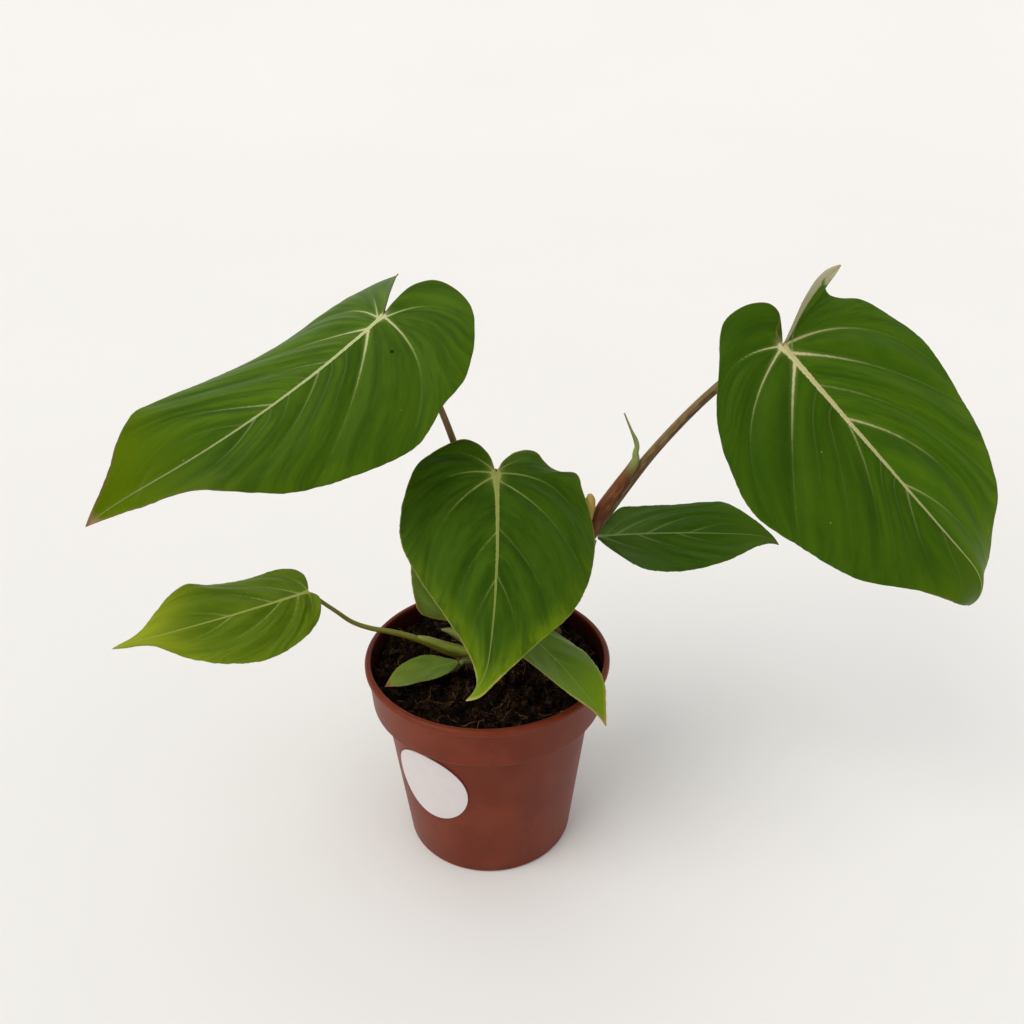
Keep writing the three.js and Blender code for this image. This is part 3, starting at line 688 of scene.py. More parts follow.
@dataclass
class Blade:
    """One leaf blade: its joint, its bend, its outline and its veins.

    Its outline points are out, along and lift from the joint. Its rows of points run out from the
    midrib, lobe rows from the joint and tip rows further on; reach is the share of the way out. The
    densities are rows or columns of points for each mm of its length.
    """

    name: str
    slot: str
    finish: LeafFinish
    joint: Point
    bend: Bend
    right: list[Point]
    left: list[Point]
    veins: dict[Side, list[Vein]]
    strip: Strip | None = None
    thickness: float = 0.8
    margin_thickness: float = 0.4
    quilt: float = 1.0
    quilt_edge: float = 4.5
    groove: float = 0.22
    ridge: float = 0.3
    midrib_rise: float = 0.18
    bulge: float = 0.15
    rib_height: float = 0.17
    rib_spacing: float = 10.5
    vein_end: float = 0.08
    frill: float = 0.25
    forward: float = 1.3
    spread: float = 0.3
    curl_over: float = 0.4
    hook_from: float = 0.75
    droop_from: float = 0.8
    lobe_reach: float = 0.45
    midrib_swell: float = 0.016
    walk_steps: int = 24
    vein_steps: int = 140
    samples: int = 480
    lobe_density: float = 0.8
    tip_density: float = 1.15
    across_density: float = 0.36

    def __post_init__(self) -> None:
        """Work out the midrib's points, as the sum of small steps along it, and both margins."""
        self.length = self.finish.length
        short = self.length < 80
        self.lobe_rows, self.tip_rows = (9, 6) if short else (12, 9)
        self.rows = self.lobe_rows + self.tip_rows
        first = -self.lobe_reach * self.length
        step = (self.length - first) / self.samples
        self.places = first + np.arange(self.samples + 1) * step
        along = self.frame(self.places[:-1] + step / 2)[0] * step
        line = np.vstack([np.zeros(3), np.cumsum(along, axis=0)])
        self.line = line + np.array(self.joint) - sample(np.zeros(()), self.places, line)
        self.walks = {side: self.walk(side) for side in Side}

    def frame(self, place: Array) -> tuple[Array, Array, Array]:
        """Directions along, across and out of the blade at places along the midrib.

        Heading, pitch and roll run evenly with the share of the length; the hook and the drooping
        tip grow with the square of the share past their start.

        Args:
            place: distances from the joint, in mm.

        Returns:
            Unit vectors along, across and out, with 3 last.
        """
        bend, share = self.bend, place / self.length
        hooked, drooped = (
            np.maximum(0, (share - start) / (1 - start)) ** 2 for start in (self.hook_from, self.droop_from)
        )
        heading = np.radians(bend.heading + bend.turn * share + bend.hook * hooked)
        pitch = np.radians(bend.pitch - (bend.droop * np.maximum(0, share) + bend.tip_droop * drooped))
        roll = np.radians(bend.roll + bend.twist * share)[..., None]
        level = np.stack([np.cos(heading), -np.sin(heading), 0 * heading], axis=-1)
        ahead = [np.sin(heading) * np.cos(pitch), np.cos(heading) * np.cos(pitch), np.sin(pitch)]
        along = np.stack(ahead, axis=-1)
        rising = np.cross(level, along)
        across = level * np.cos(roll) - rising * np.sin(roll)
        return along, across, rising * np.cos(roll) + level * np.sin(roll)

    def point(self, side: Side, out: Array, place: Array, height: Array) -> Array:
        """Points of the curled blade: an arc across the midrib, carried along it.

        Args:
            side: the half of the blade.
            out: distance out from the midrib along the skin, in mm.
            place: distance along the midrib, in mm.
            height: height over the middle of the skin, in mm.

        Returns:
            The points, with 3 last.
        """
        _, across, outward = self.frame(place)
        radius = self.curl_over * self.length / math.radians(self.bend.curl)
        fold = math.radians(self.bend.fold)
        angle = fold + out / radius
        wide = radius * (np.sin(angle) - math.sin(fold)) + height * np.sin(angle)
        high = radius * (np.cos(angle) - math.cos(fold)) + height * np.cos(angle)
        centre = sample(place, self.places, self.line)
        return centre + across * (side.value * wide)[..., None] + outward * high[..., None]

    def walk(self, side: Side) -> tuple[Array, Array, Array, int]:
        """Walk one margin from the joint to the tip.

        Args:
            side: the half of the blade.

        Returns:
            The margin's points, the length walked, where a line that runs back from each point
            meets the midrib, and the number of the point where that leaves the joint.
        """
        outline = self.right if side is Side.RIGHT else self.left
        ends = np.array([[0.0, 0.0, 0.0], *outline, [0.0, self.length, 0.0]])
        margin = spline(ends, self.walk_steps)
        foot = margin[:, 1] - self.forward * margin[:, 0]
        return margin, walked(margin), foot, int(np.nonzero(foot <= 0)[0].max()) + 1

    def margin(self, side: Side, row: Array) -> Array:
        """Margin points of rows: even steps round the lobe, then rows from even steps of the midrib.

        Args:
            side: the half of the blade.
            row: row numbers, whole or not.

        Returns:
            Out, along and lift of each row's end.
        """
        points, run, foot, turn = self.walks[side]
        rising = np.maximum.accumulate(foot[turn:]) + np.arange(len(foot) - turn) * 1e-9
        tip = np.interp(self.length * (row - self.lobe_rows) / self.tip_rows, rising, run[turn:])
        lobe = run[turn] * np.clip(row / self.lobe_rows, 0, 1)
        return sample(np.where(row <= self.lobe_rows, lobe, tip), run, points)

    def spots(self, side: Side, row: Array, reach: Array) -> tuple[Array, Array, Array, Array]:
        """Places on the flat blade: each row is a parabola from its foot on the midrib to the margin.

        Args:
            side: the half of the blade.
            row: row numbers, whole or not.
            reach: share of the way from the midrib to the margin.

        Returns:
            Out, along and lift of each place, and the distance of its foot from the joint.
        """
        end = self.margin(side, row)
        foot = self.length * np.maximum(0, row - self.lobe_rows) / self.tip_rows
        bend = 2 * reach * (1 - reach) * (foot + self.spread * (end[..., 1] - foot))
        along = reach**2 * end[..., 1] + bend + (1 - reach) ** 2 * foot
        return reach * end[..., 0], along, reach**2 * end[..., 2], foot

    def vein_field(self, side: Side, out: Array, along: Array) -> dict[str, Array]:
        """Where each place of the flat blade lies among the side veins.

        A vein is a parabola from the midrib to the margin, strong and wide at its foot and thin and
        faint towards the margin. Secondary ribs fill the gap between two veins: their count at a
        place grows with the share of the gap that lies behind it.

        Args:
            side: the half of the blade.
            out: distance out of each place, in mm.
            along: distance along of each place, in mm.

        Returns:
            The distance to the nearest vein in mm and in half widths, how strongly that vein shows,
            the count of ribs and their spacing in mm.
        """
        place = np.stack([out.ravel(), along.ravel()], axis=-1)
        t = np.linspace(0, 1, self.vein_steps)[:, None]
        tables, ends = [], []
        for vein in self.veins[side]:
            start = np.array([0.0, vein.foot])
            end = self.margin(side, np.array(vein.row))[:2]
            chord = end - start
            middle = (start + end) / 2 + vein.bow * np.array([-chord[1], chord[0]])
            course = arc(start, middle, end, t)
            tangent = np.gradient(course, axis=0)
            gap = ((place[:, None, :] - course[None]) ** 2).sum(-1)
            number = gap.argmin(axis=1)
            offset = place - course[number]
            ahead = tangent[number, 0] * offset[:, 1] - tangent[number, 1] * offset[:, 0]
            run = t[number, 0]
            fading = self.vein_end + (1 - self.vein_end) * (1 - smooth(0.02, 0.55, run))
            show = vein.show * fading * smooth(1.0, 0.9, run)
            width = 0.52 * vein.width * (1.3 - 0.85 * run + 0.8 * np.exp(-run / 0.07))
            tables.append((np.copysign(np.sqrt(gap.min(axis=1)), ahead), show, width))
            ends.append(end)
        signed, show, width = (np.stack(table) for table in zip(*tables))
        nearest = np.abs(signed).argmin(axis=0)[None]
        near, show, width = (np.take_along_axis(table, nearest, 0)[0] for table in (signed, show, width))
        # The gap between the last vein passed and the next one, with open ends
        passed = (signed > 0).sum(axis=0)
        last = len(ends) - 1
        before = np.clip(passed - 1, 0, last)
        behind = np.take_along_axis(signed, before[None], 0)[0]
        ahead = -np.take_along_axis(signed, np.minimum(passed, last)[None], 0)[0]
        ribs = np.maximum(1, np.round(np.diff(walked(np.array(ends))) / self.rib_spacing))
        total = np.concatenate([[0], np.cumsum(ribs)])
        inside = (passed > 0) & (passed <= last)
        here = ribs[np.clip(passed - 1, 0, last - 1)]
        across = np.where(inside, behind + ahead, here * self.rib_spacing)
        open_end = np.where(passed > 0, total[-1] + behind / self.rib_spacing, -ahead / self.rib_spacing)
        closed = total[before] + here * behind / np.maximum(across, 1e-6)
        found = {
            "vein_mm": np.abs(near),
            "vein_near": np.abs(near) / width,
            "vein_show": show,
            "count": np.where(inside, closed, open_end),
            "spacing": across / here,
        }
        return {name: numbers.reshape(out.shape) for name, numbers in found.items()}

    def margin_distance(
        self, side: Side, out: Array, along: Array, low: float = 0.0, high: float = math.inf
    ) -> tuple[Array, Array]:
        """Distance from each place of the flat blade to a stretch of its margin.

        Args:
            side: the half of the blade.
            out: distance out of each place, in mm.
            along: distance along of each place, in mm.
            low: the lobe row where the stretch begins.
            high: the lobe row where it ends.

        Returns:
            The distance in mm and the lobe row of the nearest margin point.
        """
        points, run, _, turn = self.walks[side]
        row = self.lobe_rows * run / run[turn]
        within = (row >= low) & (row <= high)
        points, row = points[within], row[within]
        gap = (out[..., None] - points[:, 0]) ** 2 + (along[..., None] - points[:, 1]) ** 2
        return np.sqrt(gap.min(axis=-1)), row[gap.argmin(axis=-1)]

    def roll_strip(self, side: Side, out: Array, along: Array) -> tuple[Array, Array]:
        """The rolled pale band at the margin: its height is a half ellipse across it.

        Args:
            side: the half of the blade.
            out: distance out of each place, in mm.
            along: distance along of each place, in mm.

        Returns:
            How far each place lies in the band, from 0 to 1, and how much it rises, in mm.
        """
        strip = self.strip
        if not strip or side is Side.RIGHT:
            return 0 * out, 0 * out
        across, row = self.margin_distance(side, out, along, strip.low, strip.high)
        stretch = np.clip((row - strip.low) / (strip.high - strip.low), 0, 1)
        wide = strip.width * (1 - np.abs(2 * stretch - 1) ** 3) ** 0.5 + 0.01
        hump = np.sqrt(np.clip(1 - (2 * across / wide - 1) ** 2, 0, 1))
        rise = strip.rise * hump * np.clip(wide / strip.width, 0, 1)
        return smooth(wide, wide - 0.3, across) * (wide > 0.3), rise

    def half(self, shell: Shell, side: Side) -> None:
        """Build one half of the blade, both faces and the rounded rim between them.

        The skin swells by the quilt between the side veins and sinks by it at a vein. Each vein is a
        shallow groove on the upper face and a ridge on the lower one, both a bell curve across it,
        and the midrib is a low ridge above and a strong one below.

        Args:
            shell: the surface that takes the grids.
            side: the half of the blade.
        """
        lobe = np.linspace(0, self.lobe_rows, int(self.lobe_density * self.length), endpoint=False)
        tip = np.linspace(self.lobe_rows, self.rows, int(self.tip_density * self.length))
        even = np.linspace(0, 1, int(self.across_density * self.length) + 8)
        reach = even - 0.06 * np.sin(2 * np.pi * even)
        row, reach = np.meshgrid(np.concatenate([lobe, tip]), reach, indexing="ij")
        out, along, lift, foot = self.spots(side, row, reach)
        # The margin waves a little, in bends of about 5 mm and 2 mm
        still = np.clip(out / 8, 0, 1)
        long_bends = lattice_noise(row, 0 * row + side.value * 9, 0.4, 9)
        short_bends = lattice_noise(row, 0 * row, 0.15, 10)
        out = out + self.frill * (long_bends + 0.5 * short_bends) * still * reach**6
        veins = self.vein_field(side, out, along)
        off_vein = veins.pop("vein_mm")
        steady = 4 * reach * (1 - reach) * np.sin(np.pi * row / self.rows)
        puff = 1 - 2 * np.exp(-((off_vein / self.quilt_edge) ** 2))
        # Secondary ribs run with the side veins, and the skin also ripples a little
        wander = lattice_noise(row * 3, reach * 6 + side.value * 3, 4.0, 7)
        count = veins["count"] + 0.14 * wander * np.clip(off_vein / 3, 0, 1)
        band = -np.cos(2 * np.pi * count) * smooth(1.5, 4.5, veins["spacing"])
        uneven = 0.62 + 0.38 * lattice_noise(row * 4 + 9, reach * 8 + side.value * 5, 4.0, 8)
        ribs = self.rib_height * band * uneven * np.sqrt(steady) * min(1, self.length / 120)
        middle = lift + self.quilt * puff * steady + ribs + 0.15 * wander * steady
        groove = np.exp(-(veins["vein_near"] ** 2)) * veins["vein_show"] * np.clip(steady * 3, 0, 1)
        share = np.clip(foot / self.length, 0, 1)
        round_rib = np.clip(1 - (out / (0.4 + 1.5 * (1 - share))) ** 2, 0, 1)
        thinner = (self.margin_thickness - self.thickness) * smooth(0.86, 1.0, reach)
        half = (self.thickness + thinner) / 2
        rolled, rise = self.roll_strip(side, out, along)
        upper = middle + half - self.groove * groove + self.midrib_rise * round_rib * (1 - share) + rise
        lower = middle - half - self.ridge * groove - self.midrib_swell * (self.length - foot) * round_rib
        # The midrib's band narrows towards the tip, and its star at the joint runs out into the veins
        star, spurs = self.finish.star, self.finish.spurs
        rib_width = self.finish.rib_width * np.clip(1 - along / self.length, 0, 1) ** 1.4 + 0.15
        rib_width = rib_width + 0.42 * star * np.exp(-np.abs(along) / star)
        off_rib = np.hypot(out, np.minimum(along, 0))
        spur = 0.08 * (1 - reach) ** 2 + spurs * np.exp(-off_rib / 2.5) * (side is Side.LEFT)
        values = veins | {
            "half": 0 * row + (side is Side.LEFT),
            "across": side.value * out,
            "reach": reach,
            "along": along / self.length,
            "edge": self.margin_distance(side, out, along)[0],
            "rib": off_rib / rib_width,
            "strip": rolled,
            "band": band * uneven * np.clip(3 * steady, 0, 1),
            "star": 0.5 * np.exp(-((np.hypot(1.3 * out, 0.8 * along) / star) ** 2)),
            "count": count,
            "spur": spur * smooth(3.0, 6.0, veins["spacing"]) * smooth(0.1, 0.22, along / self.length),
        }
        flip = side is Side.RIGHT
        top = self.point(side, out, along, upper)
        bottom = self.point(side, out, along, lower)
        shell.add_grid(top, values | {"under": 0 * row}, flip)
        shell.add_grid(bottom, values | {"under": 0 * row + 1}, not flip)
        # The rim bulges between the faces, apart from its two ends
        crest = self.point(side, out[:, -1] + self.bulge, along[:, -1], middle[:, -1])
        crest[[0, -1]] = (top[[0, -1], -1] + bottom[[0, -1], -1]) / 2
        rim = {name: numbers[:, -1:] for name, numbers in values.items()}
        rim["under"] = np.array([0.0, 0.5, 1.0])
        shell.add_grid(np.stack([top[:, -1], crest, bottom[:, -1]], axis=1), rim, flip)

    def make(self) -> None:
        """Build both halves of the blade in its leaf skin."""
        shell = Shell()
        for side in Side:
            self.half(shell, side)
        settle(shell.make("leaf_" + self.name, self.finish.material(), 80), "blade_" + self.name)

    def stalk_end(self, radius: float) -> list[float]:
        """The end of the petiole's line, just under and behind the joint.

        Args:
            radius: the petiole's radius there, in mm.

        Returns:
            The end's place and radius.
        """
        drop = self.thickness / 2 + 2 * GAP + self.midrib_swell * self.length
        out, place, height = np.array(0.0), np.array(-radius - GAP), np.array(-drop)
        return [*self.point(Side.RIGHT, out, place, height), radius]


@dataclass
class Stem:
    """A round stem along a smooth line, with its radius at each point and fine lengthwise ridges."""

    name: str
    node: str
    slot: str
    finish: StemFinish
    points: list[list[float]]
    sides: int = 36
    steps: int = 14
    ridges: int = 7
    ridge_depth: float = 0.025
    cap_rings: int = 5
    scar_every: float = 0.0
    scar_depth: float = 0.0

    def make(self) -> None:
        """Sweep a ring along the line; its radius runs evenly from point to point.

        The ring carries low ridges, a cosine of the angle. Each end closes in a flat cap of rings.
        """
        table = np.array(self.points, float)
        line = spline(table[:, :3], self.steps)
        count = len(line)
        radius = np.interp(np.linspace(0, len(table) - 1, count), np.arange(len(table)), table[:, 3])
        run = walked(line)
        if self.scar_every:
            radius = radius * (1 - self.scar_depth * np.cos(2 * np.pi * run / self.scar_every) ** 6)
        tangent = unit(np.gradient(line, axis=0))
        sideways = np.zeros((count, 3))
        direction = np.array([0.0, 1.0, 0.0])
        for number in range(count):
            direction = unit(direction - tangent[number] * (direction @ tangent[number]))
            sideways[number] = direction
        upward = np.cross(tangent, sideways)
        rings = self.cap_rings
        cap = np.sin(np.linspace(0, math.pi / 2, rings, endpoint=False))
        shrink = np.concatenate([cap, np.ones(count), cap[::-1]])
        pick = np.concatenate([np.zeros(rings, int), np.arange(count), np.full(rings, count - 1)])
        line, sideways, upward, run = line[pick], sideways[pick], upward[pick], run[pick]
        angle = circle(self.sides)
        wide, high = np.cos(angle), np.sin(angle)
        size = (radius[pick] * shrink)[:, None] * (1 + self.ridge_depth * np.cos(self.ridges * angle))
        skin = line[:, None] + sideways[:, None] * (size * wide)[..., None]
        skin = skin + upward[:, None] * (size * high)[..., None]
        # How far the skin faces up, which sets the finish's painted light and shade
        values = {
            "up": sideways[:, 2:] * wide + upward[:, 2:] * high,
            "turn_x": wide,
            "turn_y": high,
            "run": run[:, None],
            "share": run[:, None] / run[-1],
        }
        shell = Shell()
        shell.add_grid(skin, values, flip=True)
        settle(shell.make(self.name, self.finish.material(), 80), self.node)


@dataclass
class Pot:
    """The round nursery pot: a turned wall with a stepped collar, a rim bead, a floor and drain holes."""

    height: float = 105.0
    rim_radius: float = 60.0
    wall: float = 1.4
    bead_height: float = 3.0
    collar_top: float = 58.6
    collar_bottom: float = 57.2
    collar_height: float = 22.0
    ledge: float = 2.5
    body_top: float = 51.5
    body_bottom: float = 42.0
    floor: float = 5.0
    recess: float = 2.5
    foot_width: float = 4.0
    pad_radius: float = 11.0
    edge: float = 1.0
    rounding: float = 0.45
    round_steps: int = 5
    sides: int = 168
    crease: float = 50.0
    drains: int = 6
    drain_radius: float = 4.0
    drain_ring: float = 26.0
    drain_sides: int = 32
    finish: PlasticFinish = PlasticFinish()

    @property
    def shoulder(self) -> float:
        """Height of the collar's lower edge."""
        return self.height - self.collar_height

    def wall_radius(self, height: Array | float) -> Array | float:
        """Outer radius of the wall below the collar: it widens evenly with height."""
        return self.body_bottom + (self.body_top - self.body_bottom) * height / (self.shoulder - self.ledge)

    def profile(self) -> Array:
        """The wall's profile from the middle of the underside round to the middle of the floor.

        Returns:
            Radius and height of each corner.
        """
        edge, wall, shoulder = self.edge, self.wall, self.shoulder
        bead = self.height - self.bead_height
        inner_foot = self.body_bottom - self.foot_width
        corners = [
            (0, 0),
            (self.pad_radius, 0),
            (self.pad_radius + edge, self.recess),
            (inner_foot, self.recess),
            (inner_foot + edge, 0),
            (self.body_bottom - edge, 0),
            (self.body_bottom, edge),
            (self.body_top, shoulder - self.ledge),
            (self.collar_bottom - edge, shoulder - edge),
            (self.collar_bottom, shoulder),
            (self.collar_top, bead - edge),
            (self.rim_radius, bead),
            (self.rim_radius, self.height - edge),
            (self.rim_radius - edge, self.height),
            (self.collar_top - wall, self.height),
            (self.collar_bottom - wall, shoulder + wall),
            (self.body_top - wall, shoulder - self.ledge + wall),
            (self.wall_radius(self.floor) - wall, self.floor),
            (0, self.floor),
        ]
        return np.array(corners, float)

    def rounded(self) -> Array:
        """Round each corner of the profile with a parabola between points beside it.

        Returns:
            Radius and height of each point.
        """
        corners = self.profile()
        middle, before, after = corners[1:-1], corners[:-2], corners[2:]
        sides = []
        for side in (before - middle, after - middle):
            length = np.linalg.norm(side, axis=1, keepdims=True)
            sides.append((middle + side / length * np.minimum(self.rounding, 0.4 * length))[:, None])
        t = np.linspace(0, 1, self.round_steps)[None, :, None]
        bend = arc(sides[0], middle[:, None], sides[1], t)
        return np.vstack([corners[:1], bend.reshape(-1, 2), corners[-1:]])

    def make(self) -> None:
        """Turn the rounded profile about the pot's axis and cut the drain holes."""
        radius, height = self.rounded().T[..., None]
        shell = Shell()
        shell.add_grid(turned(radius, circle(self.sides), height), flip=True)
        piece = shell.make("nursery_pot", self.finish.material(), self.crease)
        self.drill(piece)
        settle(piece, "pot")

    def drill(self, piece: bpy.types.Object) -> None:
        """Cut the drain holes through the floor.

        Args:
            piece: the turned pot.
        """
        cutter = Shell()
        radius = np.array([0, self.drain_radius, self.drain_radius, 0])[:, None]
        height = np.array([-1, -1, self.floor + 1, self.floor + 1])[:, None]
        drain = turned(radius, circle(self.drain_sides), height)
        for number in range(self.drains):
            middle = turned(self.drain_ring, FULL_TURN * (number + 0.5) / self.drains, 0.0)
            cutter.add_grid(middle + drain, flip=True)
        tool = cutter.make("drain_cutter", piece.data.materials[0])
        cut = piece.modifiers.new("drains", "BOOLEAN")
        cut.object = tool
        cut.operation = "DIFFERENCE"
        cut.solver = "EXACT"
        bpy.context.view_layer.update()
        graph = bpy.context.evaluated_depsgraph_get()
        drilled = bpy.data.meshes.new_from_object(piece.evaluated_get(graph))
        piece.modifiers.clear()
        piece.data = drilled
        drilled.set_sharp_from_angle(angle=math.radians(self.crease))
        bpy.data.objects.remove(tool)


@dataclass
class Label:
    """The blank round paper label, bent round the pot's tapered wall."""

    pot: Pot
    radius: float = 20.5
    thickness: float = 0.4
    height: float = 56.0
    azimuth: float = -125.0
    rings: int = 16
    sides: int = 96
    finish: PaperFinish = PaperFinish()

    def make(self) -> None:
        """Lay a disc on the wall: up by radius times sine, round it by radius times cosine."""
        angle = circle(self.sides)
        radius = np.linspace(0, self.radius, self.rings + 1)
        radius = np.concatenate([radius, radius[::-1]])[:, None]
        lift = np.repeat([0.0, self.thickness], self.rings + 1)[:, None]
        height = self.height + radius * np.sin(angle)
        stand = self.pot.wall_radius(height) + GAP + lift
        azimuth = math.radians(self.azimuth) + radius * np.cos(angle) / self.pot.wall_radius(self.height)
        shell = Shell()
        shell.add_grid(turned(stand, azimuth, height))
        settle(shell.make("round_label", self.finish.material(), 50), "label")


@dataclass(frozen=True)
class Wave:
    """A long swell of the potting mix: a sine whose phase grows by x and y for each mm.

    A second sine, whose phase grows by the rate, bends its crests by the swirl.
    """

    high: float
    x: float
    y: float
    swirl: float
    rate: float


@dataclass(frozen=True)
class Threads:
    """Loose threads on the mix: how many, their length and radius in mm, and their finish."""

    name: str
    count: int
    length: tuple[float, float]
    thick: tuple[float, float]
    finish: EarthFinish


@dataclass
class PottingMix:
    """The peat and coir that fills the pot, with crumbs and fibres on it."""

    pot: Pot
    level: float = 96.0
    heap: float = 2.5
    waves: tuple[Wave, ...] = (
        Wave(1.2, 0.29, 0.1, 1.3, 0.17),
        Wave(1.0, -0.16, 0.31, 0.9, 0.21),
        Wave(0.6, 0.66, -0.47, 0.7, 0.33),
    )
    crumb_cells: tuple[tuple[float, float], ...] = ((9.0, 2.2), (4.5, 1.7), (2.0, 1.0), (1.0, 0.5))
    crumb_share: float = 0.6
    still_edge: float = 1.5
    rings: int = 110
    sides: int = 360
    crumbs: int = 900
    crumb_rings: int = 6
    crumb_sides: int = 8
    crumb_spread: tuple[float, float] = (1.8, 0.5)
    crumb_size: tuple[float, float] = (0.35, 3.2)
    crumb_stretch: tuple[float, float] = (0.55, 1.35)
    crumb_dent: float = 0.28
    crumb_reach: float = 53.0
    thread_reach: float = 50.0
    thread_limit: float = 54.0
    thread_bend: float = 0.9
    thread_lift: float = 2.2
    thread_steps: int = 10
    thread_sides: int = 5
    seed: int = 11

    def swell(self, x: Array, y: Array) -> Array:
        """Height of the mix before its crumb: a low heap and three bent waves.

        Args:
            x: places across.
            y: places along.

        Returns:
            The height at each place.
        """
        height = self.level + self.heap * (1 - np.hypot(x, y) / self.pot.body_top)
        for wave in self.waves:
            bent = wave.swirl * np.sin(wave.rate * (x - y))
            height = height + wave.high * np.sin(wave.x * x + wave.y * y + bent)
        return height

    def top(self, x: Array, y: Array) -> Array:
        """Height of the mix with its crumb: the swell and noise at four cell widths.

        Args:
            x: places across.
            y: places along.

        Returns:
            The height at each place.
        """
        height = self.swell(x, y)
        for number, (cell, high) in enumerate(self.crumb_cells):
            noise = lattice_noise(x + 200, y + 200, cell, self.seed + number)
            height = height + high * (0.5 - np.abs(noise)) * 2 * self.crumb_share
        return height

    def plug(self) -> None:
        """Build the plug inside the wall, its top a fine polar grid."""
        pot = self.pot
        clear = pot.wall + GAP
        widest = pot.collar_bottom - clear
        angle = circle(self.sides)
        radius = (widest * np.linspace(1, 0, self.rings) ** 0.85)[:, None]
        x, y = radius * np.cos(angle), radius * np.sin(angle)
        still = smooth(widest, widest - self.still_edge, radius)
        z = self.swell(x, y) * (1 - still) + self.top(x, y) * still
        wall = [
            (0, pot.floor + GAP),
            (pot.wall_radius(pot.floor) - clear, pot.floor + GAP),
            (pot.body_top - clear, pot.shoulder - pot.ledge + pot.wall),
            (widest, pot.shoulder + pot.wall + GAP),
        ]
        ring, level = np.array(wall, float).T[..., None]
        shell = Shell()
        shell.add_grid(np.vstack([turned(ring, angle, level), np.stack([x, y, z], axis=-1)]), flip=True)
        finish = EarthFinish("peat_and_coir_damp", "040201", "462c18", grain=420.0)
        settle(shell.make("potting_mix", finish.material(), 180), "soil")

    def scatter(self, count: int, random: np.random.Generator, reach: float) -> tuple[Array, Array]:
        """Pick places on the mix, evenly over its area.

        Args:
            count: how many.
            random: the seeded source of chance.
            reach: largest radius, in mm.

        Returns:
            The places' x and y.
        """
        radius = reach * np.sqrt(random.uniform(0, 1, count))
        turn = random.uniform(0, FULL_TURN, count)
        return radius * np.cos(turn), radius * np.sin(turn)

    def lumps(self) -> None:
        """Build crumbs: small balls of few faces, each stretched and dented at random."""
        random = np.random.default_rng(self.seed)
        x, y = self.scatter(self.crumbs, random, self.crumb_reach)
        size = random.gamma(*self.crumb_spread, self.crumbs).clip(*self.crumb_size)
        up = np.linspace(0, math.pi, self.crumb_rings)[:, None]
        ball = turned(np.sin(up), circle(self.crumb_sides), np.cos(up))
        shell = Shell()
        for number in range(self.crumbs):
            dent = 1 + random.uniform(-self.crumb_dent, self.crumb_dent, ball.shape[:2])
            dent[:, -1] = dent[:, 0]
            dent[0], dent[-1] = dent[0, 0], dent[-1, 0]
            stretch = random.uniform(*self.crumb_stretch, 3) * size[number]
            axis_turn = random.uniform(0, 6.28)
            spin = Matrix.Rotation(axis_turn, 3, Vector(random.normal(size=3)))
            lump = (ball * dent[..., None] * stretch) @ np.array(spin)
            place = np.array([x[number], y[number], self.top(x[number], y[number]) + 0.15 * size[number]])
            shell.add_grid(lump + place, flip=True)
        finish = EarthFinish("peat_crumbs_and_bark_chips", "080402", "5a3c22", grain=300.0)
        settle(shell.make("potting_mix_crumbs", finish.material(), 40))

    def strew(self, kind: Threads) -> None:
        """Build bent threads that lie on the mix, each a thin tube of a few sides.

        A thread is an arc on the ground that follows the mix and lifts a little at one end.

        Args:
            kind: the kind of thread.
        """
        count = kind.count
        random = np.random.default_rng(self.seed + count)
        x, y = self.scatter(count, random, self.thread_reach)
        long = random.uniform(*kind.length, count)
        turn = random.uniform(0, FULL_TURN, count)
        bend = random.normal(0, self.thread_bend, count)
        radius = random.uniform(*kind.thick, count)
        tilt = random.uniform(0, 1.0, count) ** 3 * self.thread_lift
        t = np.linspace(-0.5, 0.5, self.thread_steps + 1)
        heading = turn[:, None] + bend[:, None] * t * 2
        step = long[:, None] / self.thread_steps
        x = x[:, None] + np.cumsum(np.cos(heading), axis=1) * step
        y = y[:, None] + np.cumsum(np.sin(heading), axis=1) * step
        inside = np.minimum(1, self.thread_limit / np.maximum(np.hypot(x, y), 1e-6))
        x, y = x * inside, y * inside
        z = self.top(x, y) + radius[:, None] * 0.6 + tilt[:, None] * (t + 0.5) ** 2
        line = np.stack([x, y, z], axis=-1)
        tangent = unit(np.gradient(line, axis=1))
        side = unit(np.cross(tangent, [0.0, 0.0, 1.0]))
        over = np.cross(side, tangent)
        angle = circle(self.thread_sides)[:, None]
        taper = radius[:, None] * np.sqrt(np.clip(1 - (2 * t) ** 4, 0, 1)) * (1 - 0.4 * (t + 0.5))
        ring = side[:, :, None] * np.cos(angle) + over[:, :, None] * np.sin(angle)
        shell = Shell()
        for tube in line[:, :, None] + taper[..., None, None] * ring:
            shell.add_grid(tube)
        settle(shell.make(kind.name, kind.finish.material(), 80))

    def make(self) -> None:
        """Build the plug, its crumbs, its fibres and its rootlets."""
        coir = EarthFinish("coir_fibre_dry", "684a2c", "a8845a", 260.0, 0.8)
        dark = EarthFinish("coir_fibre_damp", "1c0e06", "5a3a1e", 260.0, 0.85)
        root = EarthFinish("rootlet_dry", "6c4e2e", "a8845a", 200.0, 0.75)
        self.plug()
        self.lumps()
        for kind in (
            Threads("coir_fibres_damp", 900, (3.0, 12.0), (0.1, 0.28), dark),
            Threads("coir_fibres_dry", 300, (3.0, 12.0), (0.08, 0.2), coir),
            Threads("rootlets", 26, (6.0, 20.0), (0.14, 0.3), root),
        ):
            self.strew(kind)


